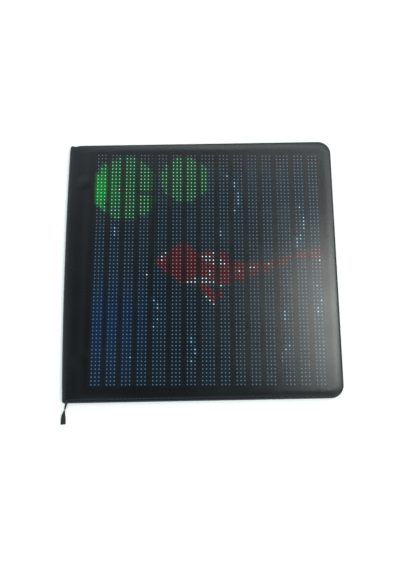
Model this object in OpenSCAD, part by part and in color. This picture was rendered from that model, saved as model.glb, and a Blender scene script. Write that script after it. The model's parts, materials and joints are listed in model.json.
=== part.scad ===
// Flexible lamp matrix in a sewn sleeve, lying on its back with the picture side up.
// The origin is on the surface it lies on, under the middle of the picture.
// X runs along the rows of lamps, Y up the picture and Z out of it.

/* [Picture] */
// Spacing of the lamps from middle to middle
led_pitch = 4; // [3.5:0.25:5]
// Lamps in one row
led_columns = 64; // [64:16:96]
// Rows of lamps on each of the two boards
board_rows = 32; // [28:4:44]
// Width of one lamp package
led_d = 2.1; // [1.5:0.1:2.6]
// Height of one lamp package
led_h = 0.9; // [0.6:0.1:1.6]
// Thickness of a lamp board
board_t = 0.8; // [0.6:0.1:1.6]
// Gap between the two lamp boards
board_gap = 0.3; // [0.1:0.1:1]

/* [Sleeve] */
// Border from the picture to the spine
left_margin = 25.5; // [25:0.1:50]
// Border from the picture to the right edge
right_margin = 13.2; // [12.5:0.1:40]
// Border above the picture
top_margin = 13.6; // [13.5:0.1:40]
// Border below the picture
bottom_margin = 14.7; // [14:0.1:40]
// Turn of the right edge, a hand-cut sleeve being a little out of square
right_turn = 0.4; // [-1:0.05:1]
// Turn of the top edge
top_turn = 1.25; // [-1.5:0.05:1.5]
// Turn of the spine
left_turn = 0.6; // [-1:0.05:1]
// Turn of the bottom edge
bottom_turn = 0.87; // [-1.5:0.05:1.5]
// How far the middle of the spine bows outwards
spine_bow = 2; // [0:0.1:5]
// Radius of the two free corners
corner_r = 14; // [6:0.5:25]
// Radius of the two corners at the spine
spine_corner_r = 3; // [2:0.25:6]
// Thickness of the front skin
front_t = 0.8; // [0.5:0.1:1.5]
// Thickness of the back skin
back_t = 1; // [0.6:0.1:2]
// Width of the turned hem
hem_w = 6; // [5:0.25:8]
// Distance from the edge to where the front skin lies flat on the lamps
plateau_in = 10; // [8:0.25:10.5]
// How far the front skin falls from there to the rounded edge
edge_drop = 0.6; // [0.3:0.1:1.2]
// Radius of the rounded edge
lip_r = 2.2; // [1.4:0.1:3]

/* [Padding] */
// Free height in the foam over the tallest part on the controller board
foam_spare = 0.1; // [0.1:0.1:4]
// Diameter of a spine magnet
magnet_d = 12; // [6:0.5:12]

/* [Spine tape] */
// Width of the spine tape
tape_w = 5.2; // [4:0.1:8]
// Thickness of the spine tape and of the hem that lies level with it
tape_t = 1; // [0.6:0.1:1.4]
// How far the tape shows past the skins
tape_out = 1.4; // [0.5:0.1:2]
// Length of the loose end of the tape
tail_length = 22; // [10:1:60]
// Width of the tape where it is gathered into the corner
tail_neck_w = 2.4; // [1.5:0.1:4]

/* [Wiring] */
// Width of a flat ribbon
ribbon_w = 12.5; // [8:0.5:15]
// Thickness of a flat ribbon
ribbon_t = 0.3; // [0.2:0.05:0.5]
// Diameter of a supply wire
wire_d = 1.4; // [1:0.1:1.6]
// Bore of the lead eyelet
eyelet_bore = 7; // [5:0.5:9]
// Height of a ribbon socket
ribbon_socket_h = 2; // [1.6:0.1:3]
// Height of a supply socket
wafer_h = 3.4; // [3:0.1:4.1]

/* [Chips] */
// Side of a driver chip
driver_w = 4; // [3:0.5:5]
// Height of a driver chip
driver_h = 0.85; // [0.6:0.05:1.2]

/* [Controller] */
// Length of the controller board
card_l = 64; // [64:1:76]
// Width of the controller board
card_w = 36; // [36:1:38]
// Thickness of the controller board
card_t = 1; // [0.8:0.1:1.2]

/* [Hidden] */
$fn = 32;
eps = 0.01;
gap = 0.3;          // clearance of what lies loosely beside its neighbour
fit = 0.1;          // clearance of what plugs together

// The picture and the boards
field_w = led_columns * led_pitch;
board_h = board_rows * led_pitch;
field_h = 2 * board_h;
board_size = [field_w - gap, board_h - board_gap];

// Heights of the layers, from the surface up
foam_t = card_t + wafer_h + foam_spare;
foam_top = back_t + foam_t;
board_top = foam_top + board_t;
lamp_top = board_top + led_h;
top_z = lamp_top + front_t;
hem_top = back_t + tape_t;
lip_z = top_z - edge_drop - lip_r;  // middle of the edge's rounding
card_top = back_t + card_t;

// Each edge of the sleeve as the direction it faces and its distance from the origin
edges = [
    [right_turn, field_w / 2 + right_margin],
    [90 + top_turn, field_h / 2 + top_margin],
    [180 + left_turn, field_w / 2 + left_margin],
    [270 + bottom_turn, field_h / 2 + bottom_margin]
];
radii = [corner_r, spine_corner_r, spine_corner_r, corner_r];
least_r = 2;
corner_steps = 7;
bow_steps = 8;
crown_steps = 4;
lip_steps = 5;
bow_fade = 30;

// Each driver chip feeds 16 columns of one colour, and the sockets stand between the chips
driver_columns = 16;
driver_count = 3 * led_columns / driver_columns;
driver_step = field_w / driver_count;
between = driver_count % 2 == 0 ? 0 : driver_step / 2;
socket_x = 3 * driver_step + between;
supply_x = between;

// Stations on each lamp board, seen from the picture side, from the board's own middle
row_chips_at = [[-field_w / 2 + 18, -9], [-field_w / 2 + 18, 9]];
buffer_chips_at = [[-field_w / 2 + 36, -9], [-field_w / 2 + 36, 9]];
capacitors_at = [[24, 2], [36, 2], [92, 2], [104, 2]];
socket_y = -12;     // from the board's middle towards the seam

// Stations on the controller board, from its own middle
card_shift = 6;     // from its middle to the socket that feeds the upper board
card_x = -socket_x - card_shift;
radio_size = [18, 13];
radio_at = [-18, 8];
inlet_y = -9;
choke_at = [10, -8];

eyelet_flange = 3;  // width of the flange round the eyelet's barrel
eyelet_wall = 0.5;
eyelet_at = [-field_w / 2 - 0.4 * left_margin, inlet_y];

function along(v, a) = v * [cos(a), sin(a)];
function lerp(a, b, t) = a + (b - a) * t;
function smooth(t) = let (u = min(1, max(0, t))) u * u * (3 - 2 * u);

// Where edge i meets the next one, when both are moved in by d
function corner(i, d) = let (
    a = edges[i], b = edges[(i + 1) % 4], det = sin(b[0] - a[0]),
    p = a[1] - d, q = b[1] - d
) [p * sin(b[0]) - q * sin(a[0]), q * cos(a[0]) - p * cos(b[0])] / det;

// How far the spine bows outwards at share t of its length, d in from the edge
function bow(t, d) = spine_bow * (1 - pow(2 * t - 1, 2)) * max(0, 1 - max(0, d) / bow_fade);

function rounded_corner(i, d) = let (
    r = max(least_r, radii[i] - d), middle = corner(i, d + r),
    from = edges[i][0], sweep = (edges[(i + 1) % 4][0] - from + 360) % 360
) [for (k = [0:corner_steps]) middle + along(r, from + sweep * k / corner_steps)];

// The sleeve's outline moved in by d, anticlockwise, with the bowed spine between its corners
function outline(d) = let (
    tl = rounded_corner(1, d), bl = rounded_corner(2, d)
) concat(
    rounded_corner(0, d), tl,
    [for (k = [1:bow_steps - 1]) let (t = k / bow_steps)
        lerp(tl[corner_steps], bl[0], t) + along(bow(t, d), edges[2][0])],
    bl, rounded_corner(3, d)
);

// A closed solid through one outline for each [inset, height], from its top face to its bottom face
module ring_solid(profile) {
    n = len(outline(0));
    m = len(profile);
    points = [for (p = profile) for (q = outline(p[0])) [q[0], q[1], p[1]]];
    walls = [for (j = [0:m - 2]) for (i = [0:n - 1]) let (
        a = j * n + i, b = j * n + (i + 1) % n, c = b + n, d = a + n
    ) each [[a, b, c], [a, c, d]]];
    top = [for (i = [n - 1:-1:0]) i];
    bottom = [for (i = [0:n - 1]) (m - 1) * n + i];
    polyhedron(points, concat([top], walls, [bottom]), convexity = 6);
}

// The front skin's outer face as [inset, height], from the flat to the rounded edge's side
function face_crown() = [for (k = [0:crown_steps]) let (u = k / crown_steps)
    [lerp(plateau_in, lip_r, u), top_z - edge_drop * u * u]];
function face_lip(r) = [for (k = [1:lip_steps]) let (a = 90 + 90 * k / lip_steps)
    [lip_r + r * cos(a), lip_z + r * sin(a)]];

// How far in from the edge the skin's inner side is at height z
function skin_in(z) = z < lip_z ? front_t
    : lip_r - sqrt(pow(lip_r - front_t, 2) - pow(min(z - lip_z, lip_r - front_t), 2));

// Height of the skin's inner side over the border, d in from the edge
function skin_under(d) =
    top_z - front_t - edge_drop * pow((plateau_in - d) / (plateau_in - lip_r), 2);

function reversed(list) = [for (k = [len(list) - 1:-1:0]) list[k]];

// ---- Sleeve ----

module front_cover() {
    edge_round = 0.4;
    crown = face_crown();
    inner_crown = [for (p = crown) p - [0, front_t]];
    hem = [
        [0, back_t + edge_round], [edge_round, back_t], [hem_w, back_t], [hem_w, hem_top],
        [front_t, hem_top]
    ];
    color("#16181a")
    difference() {
        ring_solid(concat(
            crown, face_lip(lip_r), hem,
            reversed(face_lip(lip_r - front_t)), reversed(inner_crown)
        ));
        // the hem gives way to the tape along the spine
        translate([0, 0, back_t - 1])
            linear_extrude(tape_t + 1) polygon(spine_strip(-2, hem_w + fit));
    }
}

// The strip along the spine between two distances from its edge, past both ends
function spine_strip(outer, inner) = concat(
    [for (k = [-1:bow_steps + 1]) spine_point(k / bow_steps, outer)],
    [for (k = [bow_steps + 1:-1:-1]) spine_point(k / bow_steps, inner)]
);

// A point at share t down the spine, d in from the bowed edge
function spine_point(t, d) =
    lerp(corner(1, d), corner(2, d), t) + along(bow(min(1, max(0, t)), d), edges[2][0]);

module back_cover() {
    flange_d = eyelet_bore + 2 * (eyelet_wall + eyelet_flange);
    color("#1b1c1e")
    difference() {
        linear_extrude(back_t) polygon(outline(0));
        translate([eyelet_at[0], eyelet_at[1], -eps])
            cylinder(d = eyelet_bore + 2 * eyelet_wall, h = back_t + 1);
        translate([eyelet_at[0], eyelet_at[1], -eps])
            cylinder(d = flange_d, h = back_t / 2 + eps);
    }
}

module lead_eyelet() {
    bore_r = eyelet_bore / 2;
    curl = 0.6;
    color("#8d8f92")
    translate([eyelet_at[0], eyelet_at[1], 0])
    rotate_extrude() union() {
        translate([bore_r, back_t / 4]) square([eyelet_wall, back_t + curl / 2 - back_t / 4]);
        rolled(bore_r, eyelet_wall + eyelet_flange, 0, back_t / 2);
        rolled(bore_r, 2, back_t, curl);
    }
}

// A strip's section from x outwards, rounded at both its ends
module rolled(x, width, z, thick) {
    hull() for (at = [x + thick / 2, x + width - thick / 2])
        translate([at, z + thick / 2]) circle(d = thick);
}

// ---- Padding ----

module foam_pad() {
    side = front_t + gap;
    profile = [
        [skin_in(foam_top) + gap, foam_top], [side, min(lip_z, foam_top) - gap],
        [side, hem_top + gap], [hem_w + gap, hem_top + gap], [hem_w + gap, back_t]
    ];
    color("#3c3d40")
    difference() {
        ring_solid(profile);
        card_window();
        for (side = [1, -1]) board_pockets(side);
        wire_channels();
        eyelet_pocket();
    }
}

// A pocket open at the foam's top, for a part of that size hanging from a board
module pocket(at, size, depth) {
    translate([at[0] - size[0] / 2 - gap, at[1] - size[1] / 2 - gap, foam_top - depth - gap])
        cube([size[0] + 2 * gap, size[1] + 2 * gap, depth + gap + 1]);
}

module board_pockets(side) {
    turn = side > 0 ? 0 : 180;
    rotate([0, 0, turn]) {
        for (at = driver_rows()) pocket([0, at], [field_w - 8, driver_w + 1], driver_h);
        for (at = row_chips_at) pocket(board_at(at), sop_size(8), sop_h);
        for (at = buffer_chips_at) pocket(board_at(at), sop_size(10), sop_h);
        for (at = capacitors_at) pocket(board_at(at), cap_size, cap_size[2]);
        for (x = [-socket_x, socket_x])
            pocket(board_at([x, socket_y]), ribbon_socket_size + [2 * ear_w, 0, 0], ribbon_socket_h);
        pocket(board_at([side * supply_x, socket_y]), wafer_size, wafer_h);
    }
}

module card_window() {
    room = 1.5;
    size = [card_l + 2 * room, card_w + 2 * room, foam_t + 2];
    translate([card_x - size[0] / 2, -size[1] / 2, back_t - 1]) cube(size);
}

// Room for the two ribbons, the supply wires and the lead
module wire_channels() {
    depth = foam_top - card_top - ribbon_socket_h / 2 + 0.5;
    reach = board_at([0, socket_y])[1];
    translate([-socket_x - ribbon_w / 2 - gap, 0, foam_top - depth])
        cube([ribbon_w + 2 * gap, reach, depth + 1]);
    translate([socket_x - ribbon_w / 2 - gap, -reach, foam_top - ribbon_socket_h])
        cube([ribbon_w + 2 * gap, 2 * reach, ribbon_socket_h + 1]);
    for (side = [0, 1]) mirror([0, side, 0])
        translate([0, wire_y, foam_top - wafer_h - gap]) {
            translate([card_x + card_l / 2, -4, 0])
                cube([supply_x + 4 - card_x - card_l / 2, 8, wafer_h + 1]);
            translate([supply_x - 4, 0, 0]) cube([8, reach - wire_y, wafer_h + 1]);
        }
    translate([eyelet_at[0], inlet_y - 3.5, foam_top - wafer_h - gap])
        cube([card_x - card_l / 2 - eyelet_at[0], 7, wafer_h + 1]);
}

module eyelet_pocket() {
    translate([eyelet_at[0], eyelet_at[1], back_t - 1])
        cylinder(d = eyelet_bore + 6, h = foam_t + 2);
}

magnet_h = lamp_top - foam_top;
magnets_at = [
    [-field_w / 2 - magnet_d / 2 - 3.5, 0.365 * field_h],
    [-field_w / 2 - magnet_d / 2 - 1.5, -0.4 * field_h]
];

// Fills the border round the boards, level with the lamps
module border_pad() {
    room = [field_w + 2 * gap, field_h + 2 * gap];
    shoulder = lip_r + gap;
    profile = [
        [plateau_in, lamp_top], [shoulder, skin_under(shoulder) - gap / 2],
        [skin_in(foam_top) + 2 * gap, foam_top]
    ];
    color("#3c3d40")
    difference() {
        ring_solid(profile);
        translate([-room[0] / 2, -room[1] / 2, foam_top - 1])
            cube([room[0], room[1], magnet_h + 2]);
        for (at = magnets_at)
            translate([at[0], at[1], foam_top - 1]) cylinder(d = magnet_d + 2 * fit, h = magnet_h + 2);
    }
}

module spine_magnets() {
    color("#b4b7ba")
    for (at = magnets_at)
        translate([at[0], at[1], foam_top]) cylinder(d = magnet_d, h = magnet_h);
}

// ---- Spine tape ----

// A strip through stations of [middle, direction, width, twist], tape_t thick
module strip(stations) {
    m = len(stations);
    points = [for (s = stations) let (
        side = [-sin(s[1]), cos(s[1]), 0], w = s[2] / 2, t = tape_t / 2,
        flat = side * cos(s[3]) + [0, 0, sin(s[3])],
        thick = -side * sin(s[3]) + [0, 0, cos(s[3])]
    ) each [s[0] - flat * w - thick * t, s[0] + flat * w - thick * t,
            s[0] + flat * w + thick * t, s[0] - flat * w + thick * t]];
    walls = [for (j = [0:m - 2]) for (i = [0:3]) let (
        a = 4 * j + i, b = 4 * j + (i + 1) % 4
    ) each [[a, a + 4, b + 4], [a, b + 4, b]]];
    polyhedron(points, concat([[0, 1, 2, 3]], walls,
        [[for (i = [3:-1:0]) 4 * (m - 1) + i]]), convexity = 8);
}

// The loose end's curve from the corner, t from 0 to 1
function tail_point(t) = let (
    p = corner(2, 0) + [3.6, 0.4], k = tail_length / 22,
    a = p, b = p + [-0.8, -4] * k, c = p + [-3.2, -11] * k, d = p + [-2.5, -22] * k
) a * pow(1 - t, 3) + b * 3 * t * pow(1 - t, 2) + c * 3 * t * t * (1 - t) + d * pow(t, 3);

module spine_tape() {
    inset = tape_w / 2 - tape_out;
    z_in = back_t + tape_t / 2;
    down = edges[2][0] + 90;
    held = [for (k = [0:bow_steps]) let (
        t = lerp(0.012, 0.95, k / bow_steps), p = spine_point(t, inset)
    ) [[p[0], p[1], z_in], down, tape_w, 0]];
    steps = 16;
    loose = [for (k = [0:steps]) let (
        t = k / steps, p = tail_point(t), q = tail_point(t + 0.01) - p,
        twist = 165 * smooth((t - 0.05) / 0.85),
        w = lerp(tail_neck_w, tape_w, smooth((t - 0.2) / 0.8)),
        rest = w / 2 * abs(sin(twist)) + tape_t / 2 * abs(cos(twist)),
        z = lerp(z_in, rest, smooth((t - 0.06) / 0.3))
    ) [[p[0], p[1], z], atan2(q[1], q[0]), w, twist]];
    color("#0e0f10") strip(concat(held, loose));
}

// ---- Lamp boards ----

function board_at(at) = [at[0], at[1] + field_h / 4];
function driver_rows() = [field_h / 8, 3 * field_h / 8];

// What is on the lower board is the upper board's own, turned half round
module on_board(side) {
    rotate([0, 0, side > 0 ? 0 : 180]) children();
}

// Hangs a part from the underside of the upper board, its own base upwards
module hang(at) {
    translate([board_at(at)[0], board_at(at)[1], foam_top]) mirror([0, 0, 1]) children();
}

module lamp_board(side) {
    hole_d = 1.2;
    inset = led_pitch;
    color("#101214")
    on_board(side)
    difference() {
        translate([-board_size[0] / 2, board_gap / 2, foam_top])
            cube([board_size[0], board_size[1], board_t]);
        for (x = [-1, 1]) for (y = [inset, board_h - inset])
            translate([x * (field_w / 2 - inset), y, foam_top - 1])
                cylinder(d = hole_d, h = board_t + 2);
    }
}

// A quarter of the picture: half of one board's columns
module lamps(side, half) {
    columns = led_columns / 2;
    color("#e8e6df")
    for (c = [0:columns - 1]) for (r = [0:board_rows - 1])
        translate([half * (c + 0.5) * led_pitch, side * (r + 0.5) * led_pitch, board_top])
            cylinder(d = led_d, h = led_h);
}

module driver_chip() {
    dot_d = 0.8;
    difference() {
        translate([-driver_w / 2, -driver_w / 2, 0]) cube([driver_w, driver_w, driver_h]);
        translate([driver_w / 2 - 1, driver_w / 2 - 1, driver_h - 0.1])
            cylinder(d = dot_d, h = 1);
    }
}

module driver_chips(side) {
    color("#17181a")
    on_board(side)
    for (y = driver_rows()) for (i = [0:driver_count - 1])
        translate([(i - (driver_count - 1) / 2) * driver_step, y, foam_top])
            mirror([0, 0, 1]) driver_chip();
}

sop_h = 1.5;
sop_pitch = 1.27;
function sop_size(leads) = [leads * sop_pitch, 6, sop_h];

// Chip with that many bent leads along each long side
module sop_chip(leads) {
    body = [leads * sop_pitch - 0.3, 3.9, sop_h - 0.1];
    lead_w = 0.4;
    lead_t = 0.2;
    difference() {
        translate([-body[0] / 2, -body[1] / 2, 0.1]) cube(body);
        translate([-body[0] / 2 + 1, -body[1] / 2 + 0.9, sop_h - 0.1]) cylinder(d = 0.8, h = 1);
    }
    for (i = [0:leads - 1]) for (side = [-1, 1])
        translate([(i - (leads - 1) / 2) * sop_pitch - lead_w / 2, 0, 0])
        mirror([0, side < 0 ? 1 : 0, 0]) {
            translate([0, body[1] / 2 - eps, 0.7]) cube([lead_w, 0.5, lead_t]);
            translate([0, body[1] / 2 + 0.3, 0]) cube([lead_w, lead_t, 0.9]);
            translate([0, body[1] / 2 + 0.3, 0]) cube([lead_w, 0.7, lead_t]);
        }
}

module row_chips(side) {
    color("#1c1d1f")
    on_board(side) for (at = row_chips_at) hang(at) sop_chip(8);
}

module buffer_chips(side) {
    color("#1c1d1f")
    on_board(side) for (at = buffer_chips_at) hang(at) sop_chip(10);
}

cap_size = [7.3, 4.3, 2.8];

// Moulded capacitor with a terminal folded under each end and a bevel at one
module capacitor() {
    terminal = [0.2, 2.4, 1.6];
    body = [cap_size[0] - 2 * terminal[0], cap_size[1], cap_size[2]];
    rotate([90, 0, 0]) translate([0, 0, -body[1] / 2]) linear_extrude(body[1]) polygon([
        [-body[0] / 2, 0], [body[0] / 2, 0], [body[0] / 2, body[2] - 0.6],
        [body[0] / 2 - 0.6, body[2]], [-body[0] / 2, body[2]]
    ]);
    for (x = [-cap_size[0] / 2, body[0] / 2])
        translate([x, -terminal[1] / 2, 0]) cube(terminal);
}

module capacitors(side) {
    color("#b98a34")
    on_board(side) for (at = capacitors_at) hang(at) capacitor();
}

// ---- Sockets, plugs and wires ----

ribbon_socket_size = [ribbon_w + 3, 5, ribbon_socket_h];
ear_w = 0.9;        // how far each soldered ear stands out of a ribbon socket's end
slot_z = ribbon_socket_h / 2;

// Ribbon socket standing on its base with its slot open towards -Y
module ribbon_socket() {
    size = ribbon_socket_size;
    slot = [ribbon_w + 2 * fit, 3.6, ribbon_t + 2 * fit];
    difference() {
        translate([-size[0] / 2, -size[1] / 2, 0]) cube(size);
        translate([-slot[0] / 2, -size[1] / 2 - eps, slot_z - slot[2] / 2]) cube(slot);
        translate([-slot[0] / 2, -size[1] / 2, slot_z + slot[2] / 2 - eps])
            rotate([0, 90, 0]) cylinder(d = 0.6, h = slot[0], $fn = 16);
    }
    for (side = [-1, 1]) translate([side * (size[0] / 2 + ear_w / 2) - ear_w / 2 - eps, 0.6, 0])
        cube([ear_w + 2 * eps, 1.4, 0.3]);
}

module board_ribbon_socket(side, x) {
    color("#e9e4d2") on_board(side) hang([x, socket_y]) ribbon_socket();
}

wafer_size = [8, 7.6, wafer_h];
wafer_wall = 0.7;
pin_w = 0.5;
pin_pitch = 2.5;

// Two-pin socket standing on its base with its mouth open towards -Y
module wafer() {
    size = wafer_size;
    hollow = size - [2 * wafer_wall, wafer_wall, 2 * wafer_wall];
    difference() {
        translate([-size[0] / 2, -size[1] / 2, 0]) cube(size);
        translate([-hollow[0] / 2, -size[1] / 2 - eps, wafer_wall])
            cube([hollow[0], hollow[1] + eps, hollow[2]]);
    }
    for (x = [-pin_pitch / 2, pin_pitch / 2])
        translate([x - pin_w / 2, -size[1] / 2 + 1, wafer_h / 2 - pin_w / 2])
            cube([pin_w, size[1] - 1 - wafer_wall / 2, pin_w]);
}

plug_reach = 5.6;
plug_tail = 1.6;

// Plug lying in a wafer's mouth, with its wires leaving towards -Y
module wafer_plug() {
    size = [wafer_size[0] - 2 * wafer_wall - 2 * fit, plug_reach + plug_tail,
            wafer_h - 2 * wafer_wall - 2 * fit];
    hole = pin_w + 2 * fit;
    back = -wafer_size[1] / 2 - plug_tail;
    difference() {
        translate([-size[0] / 2, back, wafer_wall + fit]) cube(size);
        for (x = [-pin_pitch / 2, pin_pitch / 2])
            translate([x - hole / 2, -wafer_size[1] / 2 + 1 - fit, wafer_h / 2 - hole / 2])
                cube([hole, size[1], hole]);
    }
}

module board_supply_socket(side) {
    color("#e9e4d2") on_board(side) hang([side * supply_x, socket_y]) wafer();
}

module board_supply_plug(side) {
    color("#dcd8ca") on_board(side) hang([side * supply_x, socket_y]) wafer_plug();
}

// From the controller's socket up to the upper board's, in a lazy step
module feed_ribbon() {
    low = card_top + slot_z;
    high = foam_top - slot_z;
    y0 = card_w / 2 - 5 + 0.2;
    y1 = board_at([0, socket_y])[1] - 0.2;
    bend = [y0 + 8, y1 - 8];
    path = [for (k = [0:8]) let (t = k / 8)
        [lerp(bend[0], bend[1], t), lerp(low, high, smooth(t))]];
    line = concat([[y0 - 0.8, low]], path, [[y1 - 0.6, high]]);
    color("#d9d7cf")
    translate([-socket_x - ribbon_w / 2, 0, 0])
    rotate([90, 0, 90]) linear_extrude(ribbon_w) polygon(concat(
        [for (p = line) p - [0, ribbon_t / 2]],
        [for (i = [len(line) - 1:-1:0]) line[i] + [0, ribbon_t / 2]]
    ));
}

// Straight across the seam, from the upper board's output to the lower board's input
module link_ribbon() {
    reach = board_at([0, socket_y])[1] - 0.5;
    color("#d9d7cf")
    translate([socket_x - ribbon_w / 2, -reach, foam_top - slot_z - ribbon_t / 2])
        cube([ribbon_w, 2 * reach, ribbon_t]);
}

// A round wire along a list of points
module wire(points, d, sides = 8) {
    m = len(points);
    ring = [for (i = [0:m - 1]) let (
        ahead = points[min(m - 1, i + 1)] - points[max(0, i - 1)],
        t = ahead / norm(ahead), u = [-t[1], t[0], 0] / norm([t[0], t[1]]), v = cross(t, u)
    ) for (k = [0:sides - 1]) points[i] + d / 2 * (cos(360 * k / sides) * u
        + sin(360 * k / sides) * v)];
    walls = [for (j = [0:m - 2]) for (i = [0:sides - 1]) let (
        a = j * sides + i, b = j * sides + (i + 1) % sides
    ) each [[a, a + sides, b + sides], [a, b + sides, b]]];
    polyhedron(ring, concat([[for (i = [0:sides - 1]) i]], walls,
        [[for (i = [sides - 1:-1:0]) (m - 1) * sides + i]]), convexity = 6);
}

wire_y = 9;         // the controller's two supply sockets, each way from its middle
wire_z = card_top + wafer_h / 2;

// One wire of a pair, from the controller's plug round the corner to the upper board's plug
function wire_path(offset) = let (
    x0 = card_x + card_l / 2 + plug_tail + fit,
    y1 = board_at([0, socket_y])[1] - wafer_size[1] / 2 - plug_tail - fit,
    z1 = foam_top - wafer_h / 2,
    r = 6 + offset, middle = [supply_x - 6, wire_y + 6]
) concat(
    [[x0, wire_y - offset, wire_z], [x0 + 4, wire_y - offset, wire_z]],
    [for (k = [0:5]) let (a = -90 + 18 * k)
        [middle[0] + r * cos(a), middle[1] + r * sin(a), wire_z]],
    [[supply_x + offset, y1 - 4, z1], [supply_x + offset, y1, z1]]
);

module supply_wires(side) {
    for (end = [-1, 1])
        color(end > 0 ? "#b3231f" : "#17181a")
        mirror([0, side > 0 ? 0 : 1, 0]) wire(wire_path(end * pin_pitch / 2), wire_d);
}

// ---- Controller ----

module on_card(at) {
    translate([card_x + at[0], at[1], card_top]) children();
}

module controller_board() {
    hole_d = 2.2;
    r = 2;
    color("#1f5137")
    translate([card_x, 0, back_t])
    difference() {
        union() {
            translate([-card_l / 2 + r, -card_w / 2, 0]) cube([card_l - 2 * r, card_w, card_t]);
            translate([-card_l / 2, -card_w / 2 + r, 0]) cube([card_l, card_w - 2 * r, card_t]);
            for (x = [-1, 1]) for (y = [-1, 1])
                translate([x * (card_l / 2 - r), y * (card_w / 2 - r), 0])
                    cylinder(r = r, h = card_t);
        }
        for (x = [-1, 1]) for (y = [-1, 1])
            translate([x * (card_l / 2 - 2.5), y * (card_w / 2 - 2.5), -1])
                cylinder(d = hole_d, h = card_t + 2);
    }
}

// Flat four-sided chip with leads all round
module controller_processor() {
    side_w = 10;
    lead_pitch = 1;
    leads = 9;
    color("#1c1d1f")
    on_card([-2, -3]) {
        difference() {
            translate([-side_w / 2, -side_w / 2, 0.1]) cube([side_w, side_w, 1.2]);
            translate([-side_w / 2 + 1.5, -side_w / 2 + 1.5, 1.2]) cylinder(d = 1, h = 1);
        }
        for (turn = [0:90:270]) rotate([0, 0, turn])
        for (i = [0:leads - 1]) translate([(i - (leads - 1) / 2) * lead_pitch - 0.2, 0, 0]) {
            translate([0, side_w / 2 - eps, 0.5]) cube([0.4, 0.4, 0.15]);
            translate([0, side_w / 2 + 0.3, 0]) cube([0.4, 0.15, 0.65]);
            translate([0, side_w / 2 + 0.3, 0]) cube([0.4, 0.7, 0.15]);
        }
    }
}

module controller_memory() {
    color("#1c1d1f") on_card([14, 2]) sop_chip(4);
}

radio_t = 0.8;

// Small board with scalloped edges, its aerial end past the shield
module radio_board() {
    notch_d = 0.8;
    notch_pitch = 1.5;
    color("#23406e")
    on_card(radio_at) difference() {
        translate([-radio_size[0] / 2, -radio_size[1] / 2, 0])
            cube([radio_size[0], radio_size[1], radio_t]);
        for (i = [0:7]) for (y = [-1, 1])
            translate([radio_size[0] / 2 - 1.5 - i * notch_pitch, y * radio_size[1] / 2, -1])
                cylinder(d = notch_d, h = radio_t + 2);
    }
}

// Folded can over the radio's parts, open underneath
module radio_shield() {
    size = [radio_size[0] - 6, radio_size[1] - 2, 1.6];
    wall = 0.2;
    color("#b9bcbe")
    on_card(radio_at)
    translate([2.5, 0, radio_t]) difference() {
        translate([-size[0] / 2, -size[1] / 2, 0]) cube(size);
        translate([-size[0] / 2 + wall, -size[1] / 2 + wall, -eps])
            cube(size - [2 * wall, 2 * wall, wall]);
    }
}

module controller_data_socket() {
    color("#e9e4d2")
    on_card([-socket_x - card_x, card_w / 2 - 5]) rotate([0, 0, 180]) ribbon_socket();
}

// Places a wafer or its plug at the controller's right edge, mouth outwards
module at_supply(side) {
    on_card([card_l / 2 - wafer_size[1] / 2, side * wire_y]) rotate([0, 0, 90]) children();
}

module controller_supply_sockets() {
    color("#e9e4d2") for (side = [1, -1]) at_supply(side) wafer();
}

module controller_supply_plugs() {
    color("#dcd8ca") for (side = [1, -1]) at_supply(side) wafer_plug();
}

module lead_inlet_socket() {
    color("#e9e4d2")
    on_card([-card_l / 2 + wafer_size[1] / 2, inlet_y]) rotate([0, 0, -90]) wafer();
}

// Wound coil in a square ferrite with a round waist
module controller_choke() {
    base = [6, 6, 0.8];
    color("#46474a")
    on_card(choke_at) {
        translate([-base[0] / 2, -base[1] / 2, 0]) cube(base);
        cylinder(d = 4.6, h = 2.8);
        translate([0, 0, 2.2]) cylinder(d = 6, h = 0.8);
    }
}

module controller_capacitors() {
    color("#b98a34")
    for (x = [-14, 20]) on_card([x, choke_at[1] - 3]) capacitor();
}

module controller_crystal() {
    size = [5, 3.2, 1.1];
    color("#c3c6c8")
    on_card([-2, 8]) {
        translate([-size[0] / 2, -size[1] / 2, 0]) cube([size[0], size[1], 0.5]);
        translate([-size[0] / 2 + 0.3, -size[1] / 2 + 0.3, 0.5])
            cube([size[0] - 0.6, size[1] - 0.6, size[2] - 0.5]);
    }
}

front_cover();
back_cover();
spine_tape();
lead_eyelet();
foam_pad();
border_pad();
spine_magnets();
lamp_board(1);  // upper_lamp_board
lamp_board(-1);  // lower_lamp_board
lamps(1, -1);  // upper_left_lamps
lamps(1, 1);  // upper_right_lamps
lamps(-1, -1);  // lower_left_lamps
lamps(-1, 1);  // lower_right_lamps
driver_chips(1);  // upper_driver_chips
driver_chips(-1);  // lower_driver_chips
row_chips(1);  // upper_row_chips
row_chips(-1);  // lower_row_chips
buffer_chips(1);  // upper_buffer_chips
buffer_chips(-1);  // lower_buffer_chips
capacitors(1);  // upper_capacitors
capacitors(-1);  // lower_capacitors
board_ribbon_socket(1, -socket_x);  // upper_input_socket
board_ribbon_socket(1, socket_x);  // upper_output_socket
board_ribbon_socket(-1, -socket_x);  // lower_input_socket
board_ribbon_socket(-1, socket_x);  // lower_output_socket
board_supply_socket(1);  // upper_supply_socket
board_supply_socket(-1);  // lower_supply_socket
feed_ribbon();
link_ribbon();
board_supply_plug(1);  // upper_supply_plug
board_supply_plug(-1);  // lower_supply_plug
supply_wires(1);  // upper_supply_wires
supply_wires(-1);  // lower_supply_wires
controller_board();
controller_processor();
controller_memory();
radio_board();
radio_shield();
controller_data_socket();
controller_supply_sockets();
controller_supply_plugs();
lead_inlet_socket();
controller_choke();
controller_capacitors();
controller_crystal();
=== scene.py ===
"""Looks of a flexible lamp matrix sewn into a thin leather-look sleeve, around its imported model.

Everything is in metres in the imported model's frame: the origin is on the surface that the
sleeve lies on, under the middle of the picture, with X along the rows of lamps, Y up the
picture and Z out of it.
"""

from __future__ import annotations

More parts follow.
